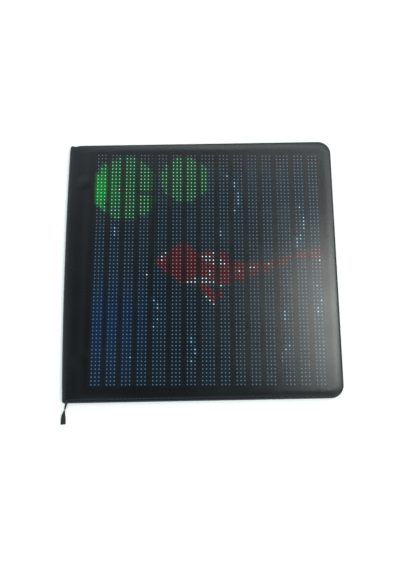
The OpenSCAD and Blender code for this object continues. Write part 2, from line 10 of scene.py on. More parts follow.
import json
import logging
import math
import random
from dataclasses import dataclass
from enum import Enum
from functools import lru_cache
from typing import Callable, Sequence

import bmesh
import bpy
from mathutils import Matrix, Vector
from mathutils.geometry import delaunay_2d_cdt

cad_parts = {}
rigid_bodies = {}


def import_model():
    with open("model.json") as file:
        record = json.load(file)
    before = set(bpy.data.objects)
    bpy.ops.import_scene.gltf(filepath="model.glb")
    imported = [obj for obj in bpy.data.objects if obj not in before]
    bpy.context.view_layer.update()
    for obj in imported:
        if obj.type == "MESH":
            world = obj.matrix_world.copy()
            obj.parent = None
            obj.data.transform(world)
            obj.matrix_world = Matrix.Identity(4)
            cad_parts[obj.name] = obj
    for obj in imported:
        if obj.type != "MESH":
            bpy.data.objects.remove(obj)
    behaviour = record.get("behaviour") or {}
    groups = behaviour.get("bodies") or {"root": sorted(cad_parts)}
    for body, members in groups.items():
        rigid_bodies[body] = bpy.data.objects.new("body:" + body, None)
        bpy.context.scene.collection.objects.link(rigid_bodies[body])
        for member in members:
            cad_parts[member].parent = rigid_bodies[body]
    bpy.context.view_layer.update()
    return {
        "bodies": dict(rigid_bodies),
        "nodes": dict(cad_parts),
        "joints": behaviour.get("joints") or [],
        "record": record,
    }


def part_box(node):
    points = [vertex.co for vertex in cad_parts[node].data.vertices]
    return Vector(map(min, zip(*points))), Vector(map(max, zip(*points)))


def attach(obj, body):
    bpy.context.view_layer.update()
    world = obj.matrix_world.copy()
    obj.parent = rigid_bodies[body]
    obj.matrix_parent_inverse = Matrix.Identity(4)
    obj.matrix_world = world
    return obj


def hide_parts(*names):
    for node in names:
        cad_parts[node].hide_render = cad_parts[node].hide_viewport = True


MM = 0.001
LAMP_PITCH_MM = 4.0
WELD = 2e-6
HAIR = 1e-7
BODY = "root"
LOG = logging.getLogger("lamp_sleeve")

Colour = tuple[float, float, float]
Point2 = tuple[float, float]


# ---- Small helpers ----


def linear(code: str) -> Colour:
    """Turns an sRGB hex colour into linear red, green and blue.

    Args:
        code: The colour, such as "#16181a".

    Returns:
        The three linear values.
    """
    values = [int(code[i : i + 2], 16) / 255 for i in (1, 3, 5)]
    return tuple(v / 12.92 if v <= 0.04045 else ((v + 0.055) / 1.055) ** 2.4 for v in values)


def lerp(a: float, b: float, t: float) -> float:
    """Returns the value at share t of the way from a to b."""
    return a + (b - a) * t


def smooth(t: float) -> float:
    """Returns a smooth step from 0 to 1 as t goes from 0 to 1."""
    u = min(1.0, max(0.0, t))
    return u * u * (3 - 2 * u)


def eased(value: float, start: float, end: float) -> float:
    """Returns a smooth step from 0 to 1 as a value goes from start to end."""
    return smooth((value - start) / (end - start))


def mixed(a: Sequence[float], b: Sequence[float], t: float) -> Colour:
    """Returns the colour at share t of the way from a to b."""
    return tuple(lerp(x, y, t) for x, y in zip(a, b))


def per_metre(size_mm: float) -> float:
    """Returns the texture scale at which a pattern's cell is that many millimetres wide."""
    return 1 / (size_mm * MM)


def bands(size_mm: float) -> float:
    """Returns the wave texture's scale at which its bands are that many millimetres apart."""
    return 2 * math.pi / (20 * size_mm * MM)


def add_node(
    tree: bpy.types.NodeTree, kind: str, settings: dict | None = None, inputs: dict | None = None
) -> bpy.types.Node:
    """Adds a node, sets its properties and fills or links its inputs.

    Args:
        tree: The tree that the node goes into.
        kind: The node's type, such as "ShaderNodeMath".
        settings: Property values by name.
        inputs: By input name or number, a value, or a socket to link from.

    Returns:
        The new node.
    """
    node = tree.nodes.new(kind)
    for name, value in (settings or {}).items():
        setattr(node, name, value)
    for key, value in (inputs or {}).items():
        socket = node.inputs[key]
        if isinstance(value, bpy.types.NodeSocket):
            tree.links.new(value, socket)
        else:
            socket.default_value = value
    return node


def finished_mesh(name: str, build: bmesh.types.BMesh, sharp_deg: float = 50) -> bpy.types.Mesh:
    """Merges a bmesh's doubles, turns its faces outwards, shades it smooth and makes a mesh.

    Args:
        name: The mesh's name.
        build: The bmesh, which is freed.
        sharp_deg: Edges that turn more than this stay sharp.

    Returns:
        The mesh.
    """
    bmesh.ops.remove_doubles(build, verts=build.verts, dist=WELD)
    bmesh.ops.dissolve_degenerate(build, edges=build.edges, dist=HAIR)
    bmesh.ops.recalc_face_normals(build, faces=build.faces)
    limit = math.radians(sharp_deg)
    for face in build.faces:
        face.smooth = True
    for edge in build.edges:
        edge.smooth = not edge.is_manifold or edge.calc_face_angle(0) < limit
    mesh = bpy.data.meshes.new(name)
    build.to_mesh(mesh)
    build.free()
    return mesh


def rounding(radius: float, middle: float, start: int, steps: int) -> list[Point2]:
    """Traces a quarter circle whose side touches inset 0.

    Args:
        radius: The circle's radius.
        middle: The height of its middle.
        start: The quarter turn that it starts at, 0 being straight up.
        steps: How many steps it is drawn in.

    Returns:
        Inset and height of each point.
    """
    turns = [math.pi / 2 * (start + k / steps) for k in range(steps + 1)]
    return [(radius * (1 - math.sin(a)), middle + radius * math.cos(a)) for a in turns]


def new_piece(name: str, mesh: bpy.types.Mesh, finish: bpy.types.Material) -> bpy.types.Object:
    """Links a mesh into the scene as a piece with one material, at the origin."""
    piece = bpy.data.objects.new(name, mesh)
    bpy.context.scene.collection.objects.link(piece)
    mesh.materials.clear()
    mesh.materials.append(finish)
    return piece


# ---- Finishes ----


@dataclass
class Pattern:
    """What a finish's pattern gives: heights, a shade from low to high, and a gloss or none."""

    height: bpy.types.NodeSocket
    shade: bpy.types.NodeSocket
    gloss: bpy.types.NodeSocket | None = None


@dataclass(frozen=True)
class Finish:
    """A moulded surface whose shade lies between two colours.

    The fine grain of the mould dulls it evenly, and its shade drifts a little over the piece.
    """

    name: str
    low: str
    high: str
    roughness: float = 0.5
    gloss_range: float = 0.05
    metallic: float = 0.0
    specular: float = 0.5
    relief_mm: float = 0.03
    grain_mm: float = 0.4
    patch_mm: float = 9.0
    noise_span: Point2 = (0.3, 0.7)

    def build(self) -> bpy.types.Material:
        """Makes the material.

        Returns:
            The finished material.
        """
        material = bpy.data.materials.new(self.name)
        material.use_nodes = True
        tree = material.node_tree
        tree.nodes.clear()
        shader = add_node(tree, "ShaderNodeBsdfPrincipled", None, {
            "Roughness": self.roughness, "Metallic": self.metallic,
            "Specular IOR Level": self.specular})
        add_node(tree, "ShaderNodeOutputMaterial", None, {"Surface": shader.outputs[0]})
        place = add_node(tree, "ShaderNodeTexCoord").outputs["Object"]
        made = self.pattern(tree, place)
        tint = add_node(tree, "ShaderNodeMix", {"data_type": "RGBA"}, {
            0: made.shade, 6: (*linear(self.low), 1), 7: (*linear(self.high), 1)})
        tree.links.new(tint.outputs[2], shader.inputs["Base Color"])
        bump = add_node(tree, "ShaderNodeBump", None, {
            "Height": made.height, "Strength": 1.0, "Distance": self.relief_mm * MM})
        tree.links.new(bump.outputs[0], shader.inputs["Normal"])
        if made.gloss is not None:
            least, most = self.noise_span
            rough = add_node(tree, "ShaderNodeMapRange", None, {
                0: made.gloss, 1: least, 2: most,
                3: self.roughness - self.gloss_range, 4: self.roughness + self.gloss_range})
            tree.links.new(rough.outputs[0], shader.inputs["Roughness"])
        self.light_up(tree, shader, place)
        return material

    def pattern(self, tree: bpy.types.NodeTree, place: bpy.types.NodeSocket) -> Pattern:
        """Makes the mould's grain and the drift of the shade.

        Args:
            tree: The material's node tree.
            place: Object coordinates.

        Returns:
            The pattern's sockets.
        """
        grain = add_node(tree, "ShaderNodeTexNoise", None, {
            "Vector": place, "Scale": per_metre(self.grain_mm), "Detail": 3.0})
        patches = add_node(tree, "ShaderNodeTexNoise", None, {
            "Vector": place, "Scale": per_metre(self.patch_mm), "Detail": 2.0})
        return Pattern(grain.outputs[0], patches.outputs[0], patches.outputs[0])

    def light_up(
        self, tree: bpy.types.NodeTree, shader: bpy.types.Node, place: bpy.types.NodeSocket
    ) -> None:
        """Adds the light that comes out of the surface, which most finishes have none of."""


@dataclass(frozen=True)
class CoatedLeather(Finish):
    """Imitation leather: knitted backing under black polyurethane, rolled with a fine grain.

    The rolled pebbles break the gloss into a soft satin, and handling polishes it in patches.
    """

    pebble_mm: float = 0.8
    bend_mm: float = 1.1
    bend_every_mm: float = 2.6

    def pattern(self, tree: bpy.types.NodeTree, place: bpy.types.NodeSocket) -> Pattern:
        """Makes uneven pebbles with creases painted darker between them as painted shade, and the
        patches that hands polish.
        """
        warp = add_node(tree, "ShaderNodeTexNoise", None, {
            "Vector": place, "Scale": per_metre(self.bend_every_mm), "Detail": 2.0})
        bent = add_node(tree, "ShaderNodeVectorMath", {"operation": "MULTIPLY_ADD"}, {
            0: warp.outputs[1], 1: (self.bend_mm * MM,) * 3, 2: place})
        pebbles = add_node(tree, "ShaderNodeTexVoronoi", {"feature": "DISTANCE_TO_EDGE"}, {
            "Vector": bent.outputs[0], "Scale": per_metre(self.pebble_mm)})
        domes = add_node(tree, "ShaderNodeMapRange", {"interpolation_type": "SMOOTHSTEP"}, {
            0: pebbles.outputs["Distance"], 1: 0.0, 2: 0.3, 3: 0.0, 4: 1.0})
        polish = add_node(tree, "ShaderNodeTexNoise", None, {
            "Vector": place, "Scale": per_metre(self.patch_mm), "Detail": 3.0})
        # The domes' height also sets the colour: the creases between the pebbles are painted darker,
        # as painted shade.
        return Pattern(domes.outputs[0], domes.outputs[0], polish.outputs[0])


def from_lamp(
    tree: bpy.types.NodeTree, place: bpy.types.NodeSocket, pitch_mm: float
) -> bpy.types.NodeSocket:
    """Adds the distance from the middle of the nearest lamp.

    Args:
        tree: The material's node tree.
        place: Object coordinates.
        pitch_mm: The lamps' spacing.

    Returns:
        The distance, as a share of the spacing.
    """
    pitch = pitch_mm * MM
    cell = add_node(tree, "ShaderNodeVectorMath", {"operation": "MULTIPLY"}, {
        0: place, 1: (1 / pitch, 1 / pitch, 0)})
    inside = add_node(tree, "ShaderNodeVectorMath", {"operation": "FRACTION"}, {
        0: cell.outputs[0]})
    away = add_node(tree, "ShaderNodeVectorMath", {"operation": "DISTANCE"}, {
        0: inside.outputs[0], 1: (0.5, 0.5, 0)})
    return away.outputs["Value"]


@dataclass(frozen=True)
class LitLeather(CoatedLeather):
    """The same leather over the lamps, rolled thin enough for their light to come through.

    Each lamp shows as a small pale point, and the coat around it glows in the lamp's colour.
    """

    lamp_pitch_mm: float = LAMP_PITCH_MM
    core_mm: float = 0.3
    point_mm: float = 0.85

    def light_up(
        self, tree: bpy.types.NodeTree, shader: bpy.types.Node, place: bpy.types.NodeSocket
    ) -> None:
        """Adds the points over the lamps, which the coat's two attributes colour, and the glow."""
        away = from_lamp(tree, place, self.lamp_pitch_mm)
        point = add_node(tree, "ShaderNodeMapRange", {"interpolation_type": "SMOOTHSTEP"}, {
            0: away, 1: self.core_mm / self.lamp_pitch_mm,
            2: self.point_mm / self.lamp_pitch_mm, 3: 1.0, 4: 0.0})
        core = add_node(tree, "ShaderNodeAttribute", {"attribute_name": "lamp_core"})
        glow = add_node(tree, "ShaderNodeAttribute", {"attribute_name": "lamp_glow"})
        dots = add_node(tree, "ShaderNodeVectorMath", {"operation": "SCALE"}, {
            0: core.outputs["Color"], "Scale": point.outputs[0]})
        light = add_node(tree, "ShaderNodeVectorMath", {"operation": "ADD"}, {
            0: dots.outputs[0], 1: glow.outputs["Color"]})
        tree.links.new(light.outputs[0], shader.inputs["Emission Color"])
        shader.inputs["Emission Strength"].default_value = 1.0


@dataclass(frozen=True)
class WovenTape(Finish):
    """Polyester tape in a close plain weave: a painted highlight lightens its raised threads and
    painted shade darkens the hollows between them.

    The threads are drawn as coarse as they need to be to show.
    """

    thread_mm: float = 0.5

    def pattern(self, tree: bpy.types.NodeTree, place: bpy.types.NodeSocket) -> Pattern:
        """Makes the weave along the tape's own length and width."""
        run = add_node(tree, "ShaderNodeUVMap", {"uv_map": "tape"}).outputs[0]
        warp, weft = (
            add_node(tree, "ShaderNodeTexWave", {"bands_direction": way}, {
                "Vector": run, "Scale": bands(self.thread_mm), "Distortion": 0.2})
            for way in ("X", "Y"))
        weave = add_node(tree, "ShaderNodeMath", {"operation": "MULTIPLY"}, {
            0: warp.outputs["Fac"], 1: weft.outputs["Fac"]})
        # The weave's height also sets the colour: the raised threads carry a painted highlight, the
        # hollows between them painted shade.
        return Pattern(weave.outputs[0], weave.outputs[0])


@dataclass(frozen=True)
class TwistedThread(Finish):
    """Bonded polyester thread: plies laid together, a slight painted sheen on their crests and
    painted shade in the grooves between them.
    """

    ply_mm: float = 0.6

    def pattern(self, tree: bpy.types.NodeTree, place: bpy.types.NodeSocket) -> Pattern:
        """Makes the slanting plies."""
        plies = add_node(tree, "ShaderNodeTexWave", {"bands_direction": "DIAGONAL"}, {
            "Vector": place, "Scale": bands(self.ply_mm), "Distortion": 0.4})
        # The plies' height also sets the colour: a painted sheen on their crests, painted shade in
        # the grooves.
        return Pattern(plies.outputs["Fac"], plies.outputs["Fac"])


@dataclass(frozen=True)
class PlatedMetal(Finish):
    """Nickel or tin plate over a stamped part: even, with the faint hairlines of the stamp."""

    hairline_mm: float = 1.6
    squeeze: float = 14

    def pattern(self, tree: bpy.types.NodeTree, place: bpy.types.NodeSocket) -> Pattern:
        """Makes the hairlines, which vary the gloss as well."""
        drawn = add_node(tree, "ShaderNodeMapping", None, {
            0: place, "Scale": (1, self.squeeze, 1)})
        lines = add_node(tree, "ShaderNodeTexNoise", None, {
            "Vector": drawn.outputs[0], "Scale": per_metre(self.hairline_mm), "Detail": 4.0})
        return Pattern(lines.outputs[0], lines.outputs[0], lines.outputs[0])


@dataclass(frozen=True)
class CellFoam(Finish):
    """Closed-cell foam, sliced from a block, so that cut cells pit its faces."""

    cell_mm: float = 0.7

    def pattern(self, tree: bpy.types.NodeTree, place: bpy.types.NodeSocket) -> Pattern:
        """Makes the pits, which are painted darker than the walls between them, as painted shade."""
        cells = add_node(tree, "ShaderNodeTexVoronoi", {"feature": "F1"}, {
            "Vector": place, "Scale": per_metre(self.cell_mm)})
        # The cells' depth also sets the colour: the pits are painted darker, as painted shade.
        return Pattern(cells.outputs["Distance"], cells.outputs["Distance"])


@dataclass(frozen=True)
class CircuitBoard(Finish):
    """Glass-epoxy laminate under solder resist, with the copper tracks raised beneath it.

    The resist is lighter over the copper than over the bare laminate.
    """

    track_mm: float = 1.2

    def pattern(self, tree: bpy.types.NodeTree, place: bpy.types.NodeSocket) -> Pattern:
        """Makes runs of tracks that step aside from block to block."""
        blocks = add_node(tree, "ShaderNodeTexVoronoi", {"distance": "CHEBYCHEV"}, {
            "Vector": place, "Scale": per_metre(self.track_mm * 9)})
        tracks = add_node(tree, "ShaderNodeTexWave", {"bands_direction": "Y"}, {
            "Vector": place, "Scale": bands(self.track_mm),
            "Phase Offset": blocks.outputs["Color"]})
        raised = add_node(tree, "ShaderNodeMapRange", {"interpolation_type": "SMOOTHSTEP"}, {
            0: tracks.outputs["Fac"], 1: 0.45, 2: 0.6, 3: 0.0, 4: 1.0})
        return Pattern(raised.outputs[0], raised.outputs[0])


@dataclass(frozen=True)
class LampResin(Finish):
    """A white moulded lamp package with a round window of resin, yellower than the rim."""

    lamp_pitch_mm: float = LAMP_PITCH_MM
    window_mm: float = 0.7
    step_mm: float = 0.1

    def pattern(self, tree: bpy.types.NodeTree, place: bpy.types.NodeSocket) -> Pattern:
        """Makes the window in the middle of each package, sunk a little below its rim."""
        away = from_lamp(tree, place, self.lamp_pitch_mm)
        rim = add_node(tree, "ShaderNodeMapRange", {"interpolation_type": "SMOOTHSTEP"}, {
            0: away, 1: (self.window_mm - self.step_mm) / self.lamp_pitch_mm,
            2: self.window_mm / self.lamp_pitch_mm, 3: 0.0, 4: 1.0})
        return Pattern(rim.outputs[0], rim.outputs[0])


@dataclass(frozen=True)
class RibbonFilm(Finish):
    """Flat strands side by side between two films, seen as fine lines along the ribbon."""

    strand_mm: float = 1.0

    def pattern(self, tree: bpy.types.NodeTree, place: bpy.types.NodeSocket) -> Pattern:
        """Makes the strands, which run along Y."""
        strands = add_node(tree, "ShaderNodeTexWave", {"bands_direction": "X"}, {
            "Vector": place, "Scale": bands(self.strand_mm)})
        return Pattern(strands.outputs["Fac"], strands.outputs["Fac"])


@dataclass(frozen=True)
class WirePair(Finish):
    """Soft extruded vinyl jackets, the pair's inner wire in the low colour and the outer high.

    Both wires turn round one corner, so the distance from that corner tells them apart.
    """

    corner_mm: Point2 = (-6.0, 15.0)
    bend_mm: float = 6.0

    def pattern(self, tree: bpy.types.NodeTree, place: bpy.types.NodeSocket) -> Pattern:
        """Makes the two colours and the jackets' faint mottling."""
        upright = add_node(tree, "ShaderNodeVectorMath", {"operation": "ABSOLUTE"}, {0: place})
        sides = add_node(tree, "ShaderNodeSeparateXYZ", None, {0: place})
        ends = add_node(tree, "ShaderNodeSeparateXYZ", None, {0: upright.outputs[0]})
        across = add_node(tree, "ShaderNodeMath", {"operation": "SUBTRACT"}, {
            0: sides.outputs[0], 1: self.corner_mm[0] * MM})
        below = add_node(tree, "ShaderNodeMath", {"operation": "SUBTRACT"}, {
            0: self.corner_mm[1] * MM, 1: ends.outputs[1]})
        reach = [
            add_node(tree, "ShaderNodeMath", {"operation": "MAXIMUM"}, {0: n.outputs[0], 1: 0.0})
            for n in (across, below)]
        corner = add_node(tree, "ShaderNodeCombineXYZ", None, {
            0: reach[0].outputs[0], 1: reach[1].outputs[0]})
        away = add_node(tree, "ShaderNodeVectorMath", {"operation": "LENGTH"}, {
            0: corner.outputs[0]})
        outer = add_node(tree, "ShaderNodeMath", {"operation": "GREATER_THAN"}, {
            0: away.outputs["Value"], 1: self.bend_mm * MM})
        mottle = add_node(tree, "ShaderNodeTexNoise", None, {
            "Vector": place, "Scale": per_metre(self.grain_mm)})
        return Pattern(mottle.outputs[0], outer.outputs[0])


@dataclass(frozen=True)
class StudioPaper(Finish):
    """Matt white paper that the sleeve lies on, which the camera sees as plain white."""

    lift: float = 0.25

    def light_up(
        self, tree: bpy.types.NodeTree, shader: bpy.types.Node, place: bpy.types.NodeSocket
    ) -> None:
        """Lifts the paper for the camera, and for what mirrors it or shows it through."""
        path = add_node(tree, "ShaderNodeLightPath")
        seen = path.outputs["Is Camera Ray"]
        for name in ("Is Glossy Ray", "Is Transmission Ray"):
            seen = add_node(tree, "ShaderNodeMath", {"operation": "MAXIMUM"}, {
                0: seen, 1: path.outputs[name]}).outputs[0]
        lifted = add_node(tree, "ShaderNodeMath", {"operation": "MULTIPLY"}, {
            0: seen, 1: self.lift})
        shader.inputs["Emission Color"].default_value = (1, 1, 1, 1)
        tree.links.new(lifted.outputs[0], shader.inputs["Emission Strength"])


# ---- The picture on the lamps ----


class Lamp(Enum):
    """What a lamp shows in the pond picture."""

    WATER = "water"
    LEAF = "leaf"
    FISH = "fish"
    MARK = "mark"
    SPARKLE = "sparkle"


@dataclass(frozen=True)
class Shine:
    """The light of one kind of lamp through the leather: its point and the glow around it."""

    point: str
    strength: float
    glow: str
    spread: float


@dataclass(frozen=True)
class Blob:
    """An ellipse in the picture, in columns and rows from the top left lamp."""

    column: float
    row: float
    half_width: float
    half_height: float

    def off(self, column: float, row: float) -> Point2:
        """Returns how far off its middle a lamp is, across and down, in half sizes."""
        return (column - self.column) / self.half_width, (row - self.row) / self.half_height

    def holds(self, column: float, row: float) -> bool:
        """Returns whether a lamp's middle is inside the ellipse."""
        x, y = self.off(column, row)
        return x ** 2 + y ** 2 <= 1

    def share(self, column: float, row: float) -> float:
        """Returns how near its middle a lamp is, from 0 far off to 1, with a soft edge."""
        x, y = self.off(column, row)
        return math.exp(-(x ** 2)) * math.exp(-(y ** 2))


@dataclass(frozen=True)
class Stroke:
    """A straight stroke in the picture, in columns and rows, that may taper."""

    start: Point2
    end: Point2
    width: float
    end_width: float

    def holds(self, column: float, row: float) -> bool:
        """Returns whether a lamp's middle is on the stroke."""
        (ax, ay), (bx, by) = self.start, self.end
        dx, dy = bx - ax, by - ay
        t = ((column - ax) * dx + (row - ay) * dy) / (dx * dx + dy * dy)
        t = min(1.0, max(0.0, t))
        off = math.hypot(column - ax - t * dx, row - ay - t * dy)
        return off <= lerp(self.width, self.end_width, t) / 2


@dataclass(frozen=True)
class PondPicture:
    """A pond seen from above, drawn with plain shapes: two round leaves, a fish and ripples.

    The scan of the lamps leaves every fourth column dark, and slips a column at three places.
    """

    columns: int = 64
    rows: int = 64
    pitch: float = LAMP_PITCH_MM * MM
    seed: int = 11
    unevenness: float = 0.12
    dark_every: int = 4
    slips: tuple[int, ...] = (18, 31, 52)
    leaves: tuple[Blob, ...] = (Blob(8.8, 9.7, 9.0, 9.0), Blob(25.1, 7.0, 6.7, 6.6))
    notch: Stroke = Stroke((12.0, 11.0), (18.0, 11.2), 0.7, 1.5)
    fish: tuple[Blob | Stroke, ...] = (
        Stroke((18.6, 30.4), (23.8, 30.8), 3.0, 10.6), Blob(30.6, 31.9, 8.2, 4.5),
        Stroke((36.0, 33.1), (41.6, 33.0), 6.2, 4.4), Stroke((41.6, 32.9), (47.0, 31.7), 3.8, 2.6),
        Stroke((47.0, 31.4), (53.0, 29.9), 2.4, 1.6), Stroke((53.0, 29.3), (59.0, 28.5), 1.4, 2.2),
        Stroke((59.0, 28.4), (63.0, 28.0), 2.2, 3.2), Stroke((35.2, 27.8), (36.2, 29.6), 1.6, 1.8),
        Stroke((30.6, 37.8), (33.2, 40.6), 2.6, 1.6), Stroke((35.0, 39.2), (35.2, 40.2), 1.2, 1.2))
    marks: tuple[Stroke, ...] = (
        Stroke((18.9, 30.0), (20.0, 28.0), 0.9, 0.9), Stroke((30.0, 29.0), (32.2, 29.0), 0.7, 0.7),
        Stroke((31.0, 30.0), (33.2, 30.1), 0.7, 0.7), Stroke((33.0, 30.0), (33.0, 31.1), 0.6, 0.6),
        Stroke((35.0, 30.0), (35.0, 31.0), 0.6, 0.6), Stroke((32.0, 33.0), (32.1, 34.1), 0.6, 0.6),
        Stroke((28.0, 35.0), (31.1, 35.1), 0.7, 0.7), Stroke((26.0, 36.0), (33.1, 36.0), 0.7, 0.7),
        Stroke((31.0, 40.0), (33.0, 42.0), 0.6, 0.6), Stroke((43.0, 32.0), (44.1, 32.1), 0.7, 0.7))
    mark_dots: tuple[Point2, ...] = (
        (33, 28), (36, 31), (35, 37), (40, 33), (48, 31), (62, 30), (15, 34), (7, 10))
    ripples: tuple[Stroke, ...] = (
        Stroke((6.0, 21.0), (6.1, 23.0), 0.8, 0.8), Stroke((39.0, 8.0), (39.0, 9.0), 0.7, 0.7),
        Stroke((40.0, 11.0), (40.0, 14.0), 0.7, 0.7), Stroke((35.0, 22.0), (35.0, 23.0), 0.7, 0.7),
        Stroke((58.0, 18.0), (58.0, 21.0), 0.7, 0.7), Stroke((57.0, 23.0), (57.0, 24.0), 0.7, 0.7),
        Stroke((56.0, 24.0), (56.0, 26.0), 0.7, 0.7), Stroke((17.0, 41.0), (18.1, 43.0), 0.9, 0.9),
        Stroke((27.0, 51.0), (27.0, 52.0), 0.7, 0.7), Stroke((28.0, 54.0), (28.0, 55.0), 0.7, 0.7),
        Stroke((52.0, 44.0), (52.0, 46.0), 0.7, 0.7), Stroke((53.0, 53.0), (51.9, 54.0), 0.7, 0.7),
        Stroke((51.0, 55.0), (51.0, 57.0), 0.7, 0.7), Stroke((61.0, 43.0), (61.0, 44.0), 0.7, 0.7))
    ripple_dots: tuple[Point2, ...] = (
        (3, 14), (6, 16), (37, 6), (39, 16), (57, 15), (18, 46), (17, 48), (27, 57), (61, 37),
        (62, 41), (11, 56))
    bright_spot: Blob = Blob(0, 10, 4.6, 6)
    deep_spot: Blob = Blob(4, 48, 10, 13)
    bank_rows: int = 5
    water: Shine = Shine("#b0e6ff", 0.29, "#00b4ff", 0.012)
    deep_water: Shine = Shine("#86d4ff", 0.30, "#0096ff", 0.046)
    bank: Shine = Shine("#d0dcff", 0.28, "#8fa8c8", 0.004)
    leaf: Shine = Shine("#9cffd2", 0.86, "#00ff64", 0.034)
    bright_leaf: Shine = Shine("#4cff9c", 1.2, "#00ff54", 0.200)
    scales: Shine = Shine("#ffb4ca", 0.44, "#ff0048", 0.040)
    white: Shine = Shine("#f2f7ff", 1.55, "#8fb0c8", 0.030)
    sparkle: Shine = Shine("#b4e6ff", 1.2, "#00a0e0", 0.050)

    def shows(self, column: int, row: int) -> Lamp:
        """Says what one lamp shows.

        Args:
            column: The lamp's column from the left.
            row: Its row from the top.

        Returns:
            The kind of thing that it shows.
        """
        layers = ((self.marks, self.mark_dots, Lamp.MARK),
                  (self.ripples, self.ripple_dots, Lamp.SPARKLE), (self.fish, (), Lamp.FISH))
        for shapes, dots, kind in layers:
            if (column, row) in dots or any(shape.holds(column, row) for shape in shapes):
                return kind
        leaf = any(shape.holds(column, row) for shape in self.leaves)
        return Lamp.LEAF if leaf and not self.notch.holds(column, row) else Lamp.WATER

    def lit(self, column: int, row: int) -> float:
        """Says how bright the scan leaves a lamp.

        Three columns beside its slips are partly dark, and change from the top to the bottom.

        Args:
            column: The lamp's column from the left.
            row: Its row from the top.

        Returns:
            The share of its full light, from 0 to 1.
        """
        first, _, last = self.slips
        partly = {
            first - 2: lerp(0.4, 0.0, eased(row, 0, 30)),
            first - 1: lerp(0.1, 1.0, eased(row, 18, 42)),
            last - 1: lerp(1.0, 0.3, row / self.rows),
        }
        if column in partly:
            return partly[column]
        place = column - sum(column > slip for slip in self.slips)
        return 0.0 if place % self.dark_every == 0 else 1.0

    def shine(self, column: int, row: int) -> tuple[Colour, Colour]:
        """Gives a lamp's light as if the scan left it fully bright.

        Args:
            column: The lamp's column from the left.
            row: Its row from the top.

        Returns:
            The linear colour of its point and of the glow around it.
        """
        kind = self.shows(column, row)
        pairs = {
            Lamp.LEAF: (self.leaf, self.bright_leaf, self.bright_spot.share(column, row)),
            Lamp.FISH: (self.scales, self.scales, 0.0),
            Lamp.MARK: (self.white, self.white, 0.0),
            Lamp.SPARKLE: (self.sparkle, self.sparkle, 0.0),
            Lamp.WATER: (self.water, self.deep_water, self.deep_spot.share(column, row)),
        }
        a, b, t = pairs[kind]
        if kind is Lamp.WATER and row < self.bank_rows:
            a, b, t = self.water, self.bank, smooth(1 - row / self.bank_rows)
        point = mixed([a.strength * v for v in linear(a.point)],
                      [b.strength * v for v in linear(b.point)], t)
        glow = mixed([a.spread * v for v in linear(a.glow)],
                     [b.spread * v for v in linear(b.glow)], t)
        return point, glow

    def light(self) -> dict[tuple[int, int], tuple[Colour, Colour]]:
        """Gives the light of every lamp.

        Returns:
            The point's and the glow's colour by column and row.
        """
        chance = random.Random(self.seed)
        lamps = {}
        for row in range(self.rows):
            for column in range(self.columns):
                uneven = chance.uniform(1 - self.unevenness, 1 + self.unevenness)
                level = self.lit(column, row) * uneven
                point, glow = self.shine(column, row)
                lamps[column, row] = (tuple(level * v for v in point),
                                      tuple(level * v for v in glow))
        return lamps


# ---- The sleeve's outline ----


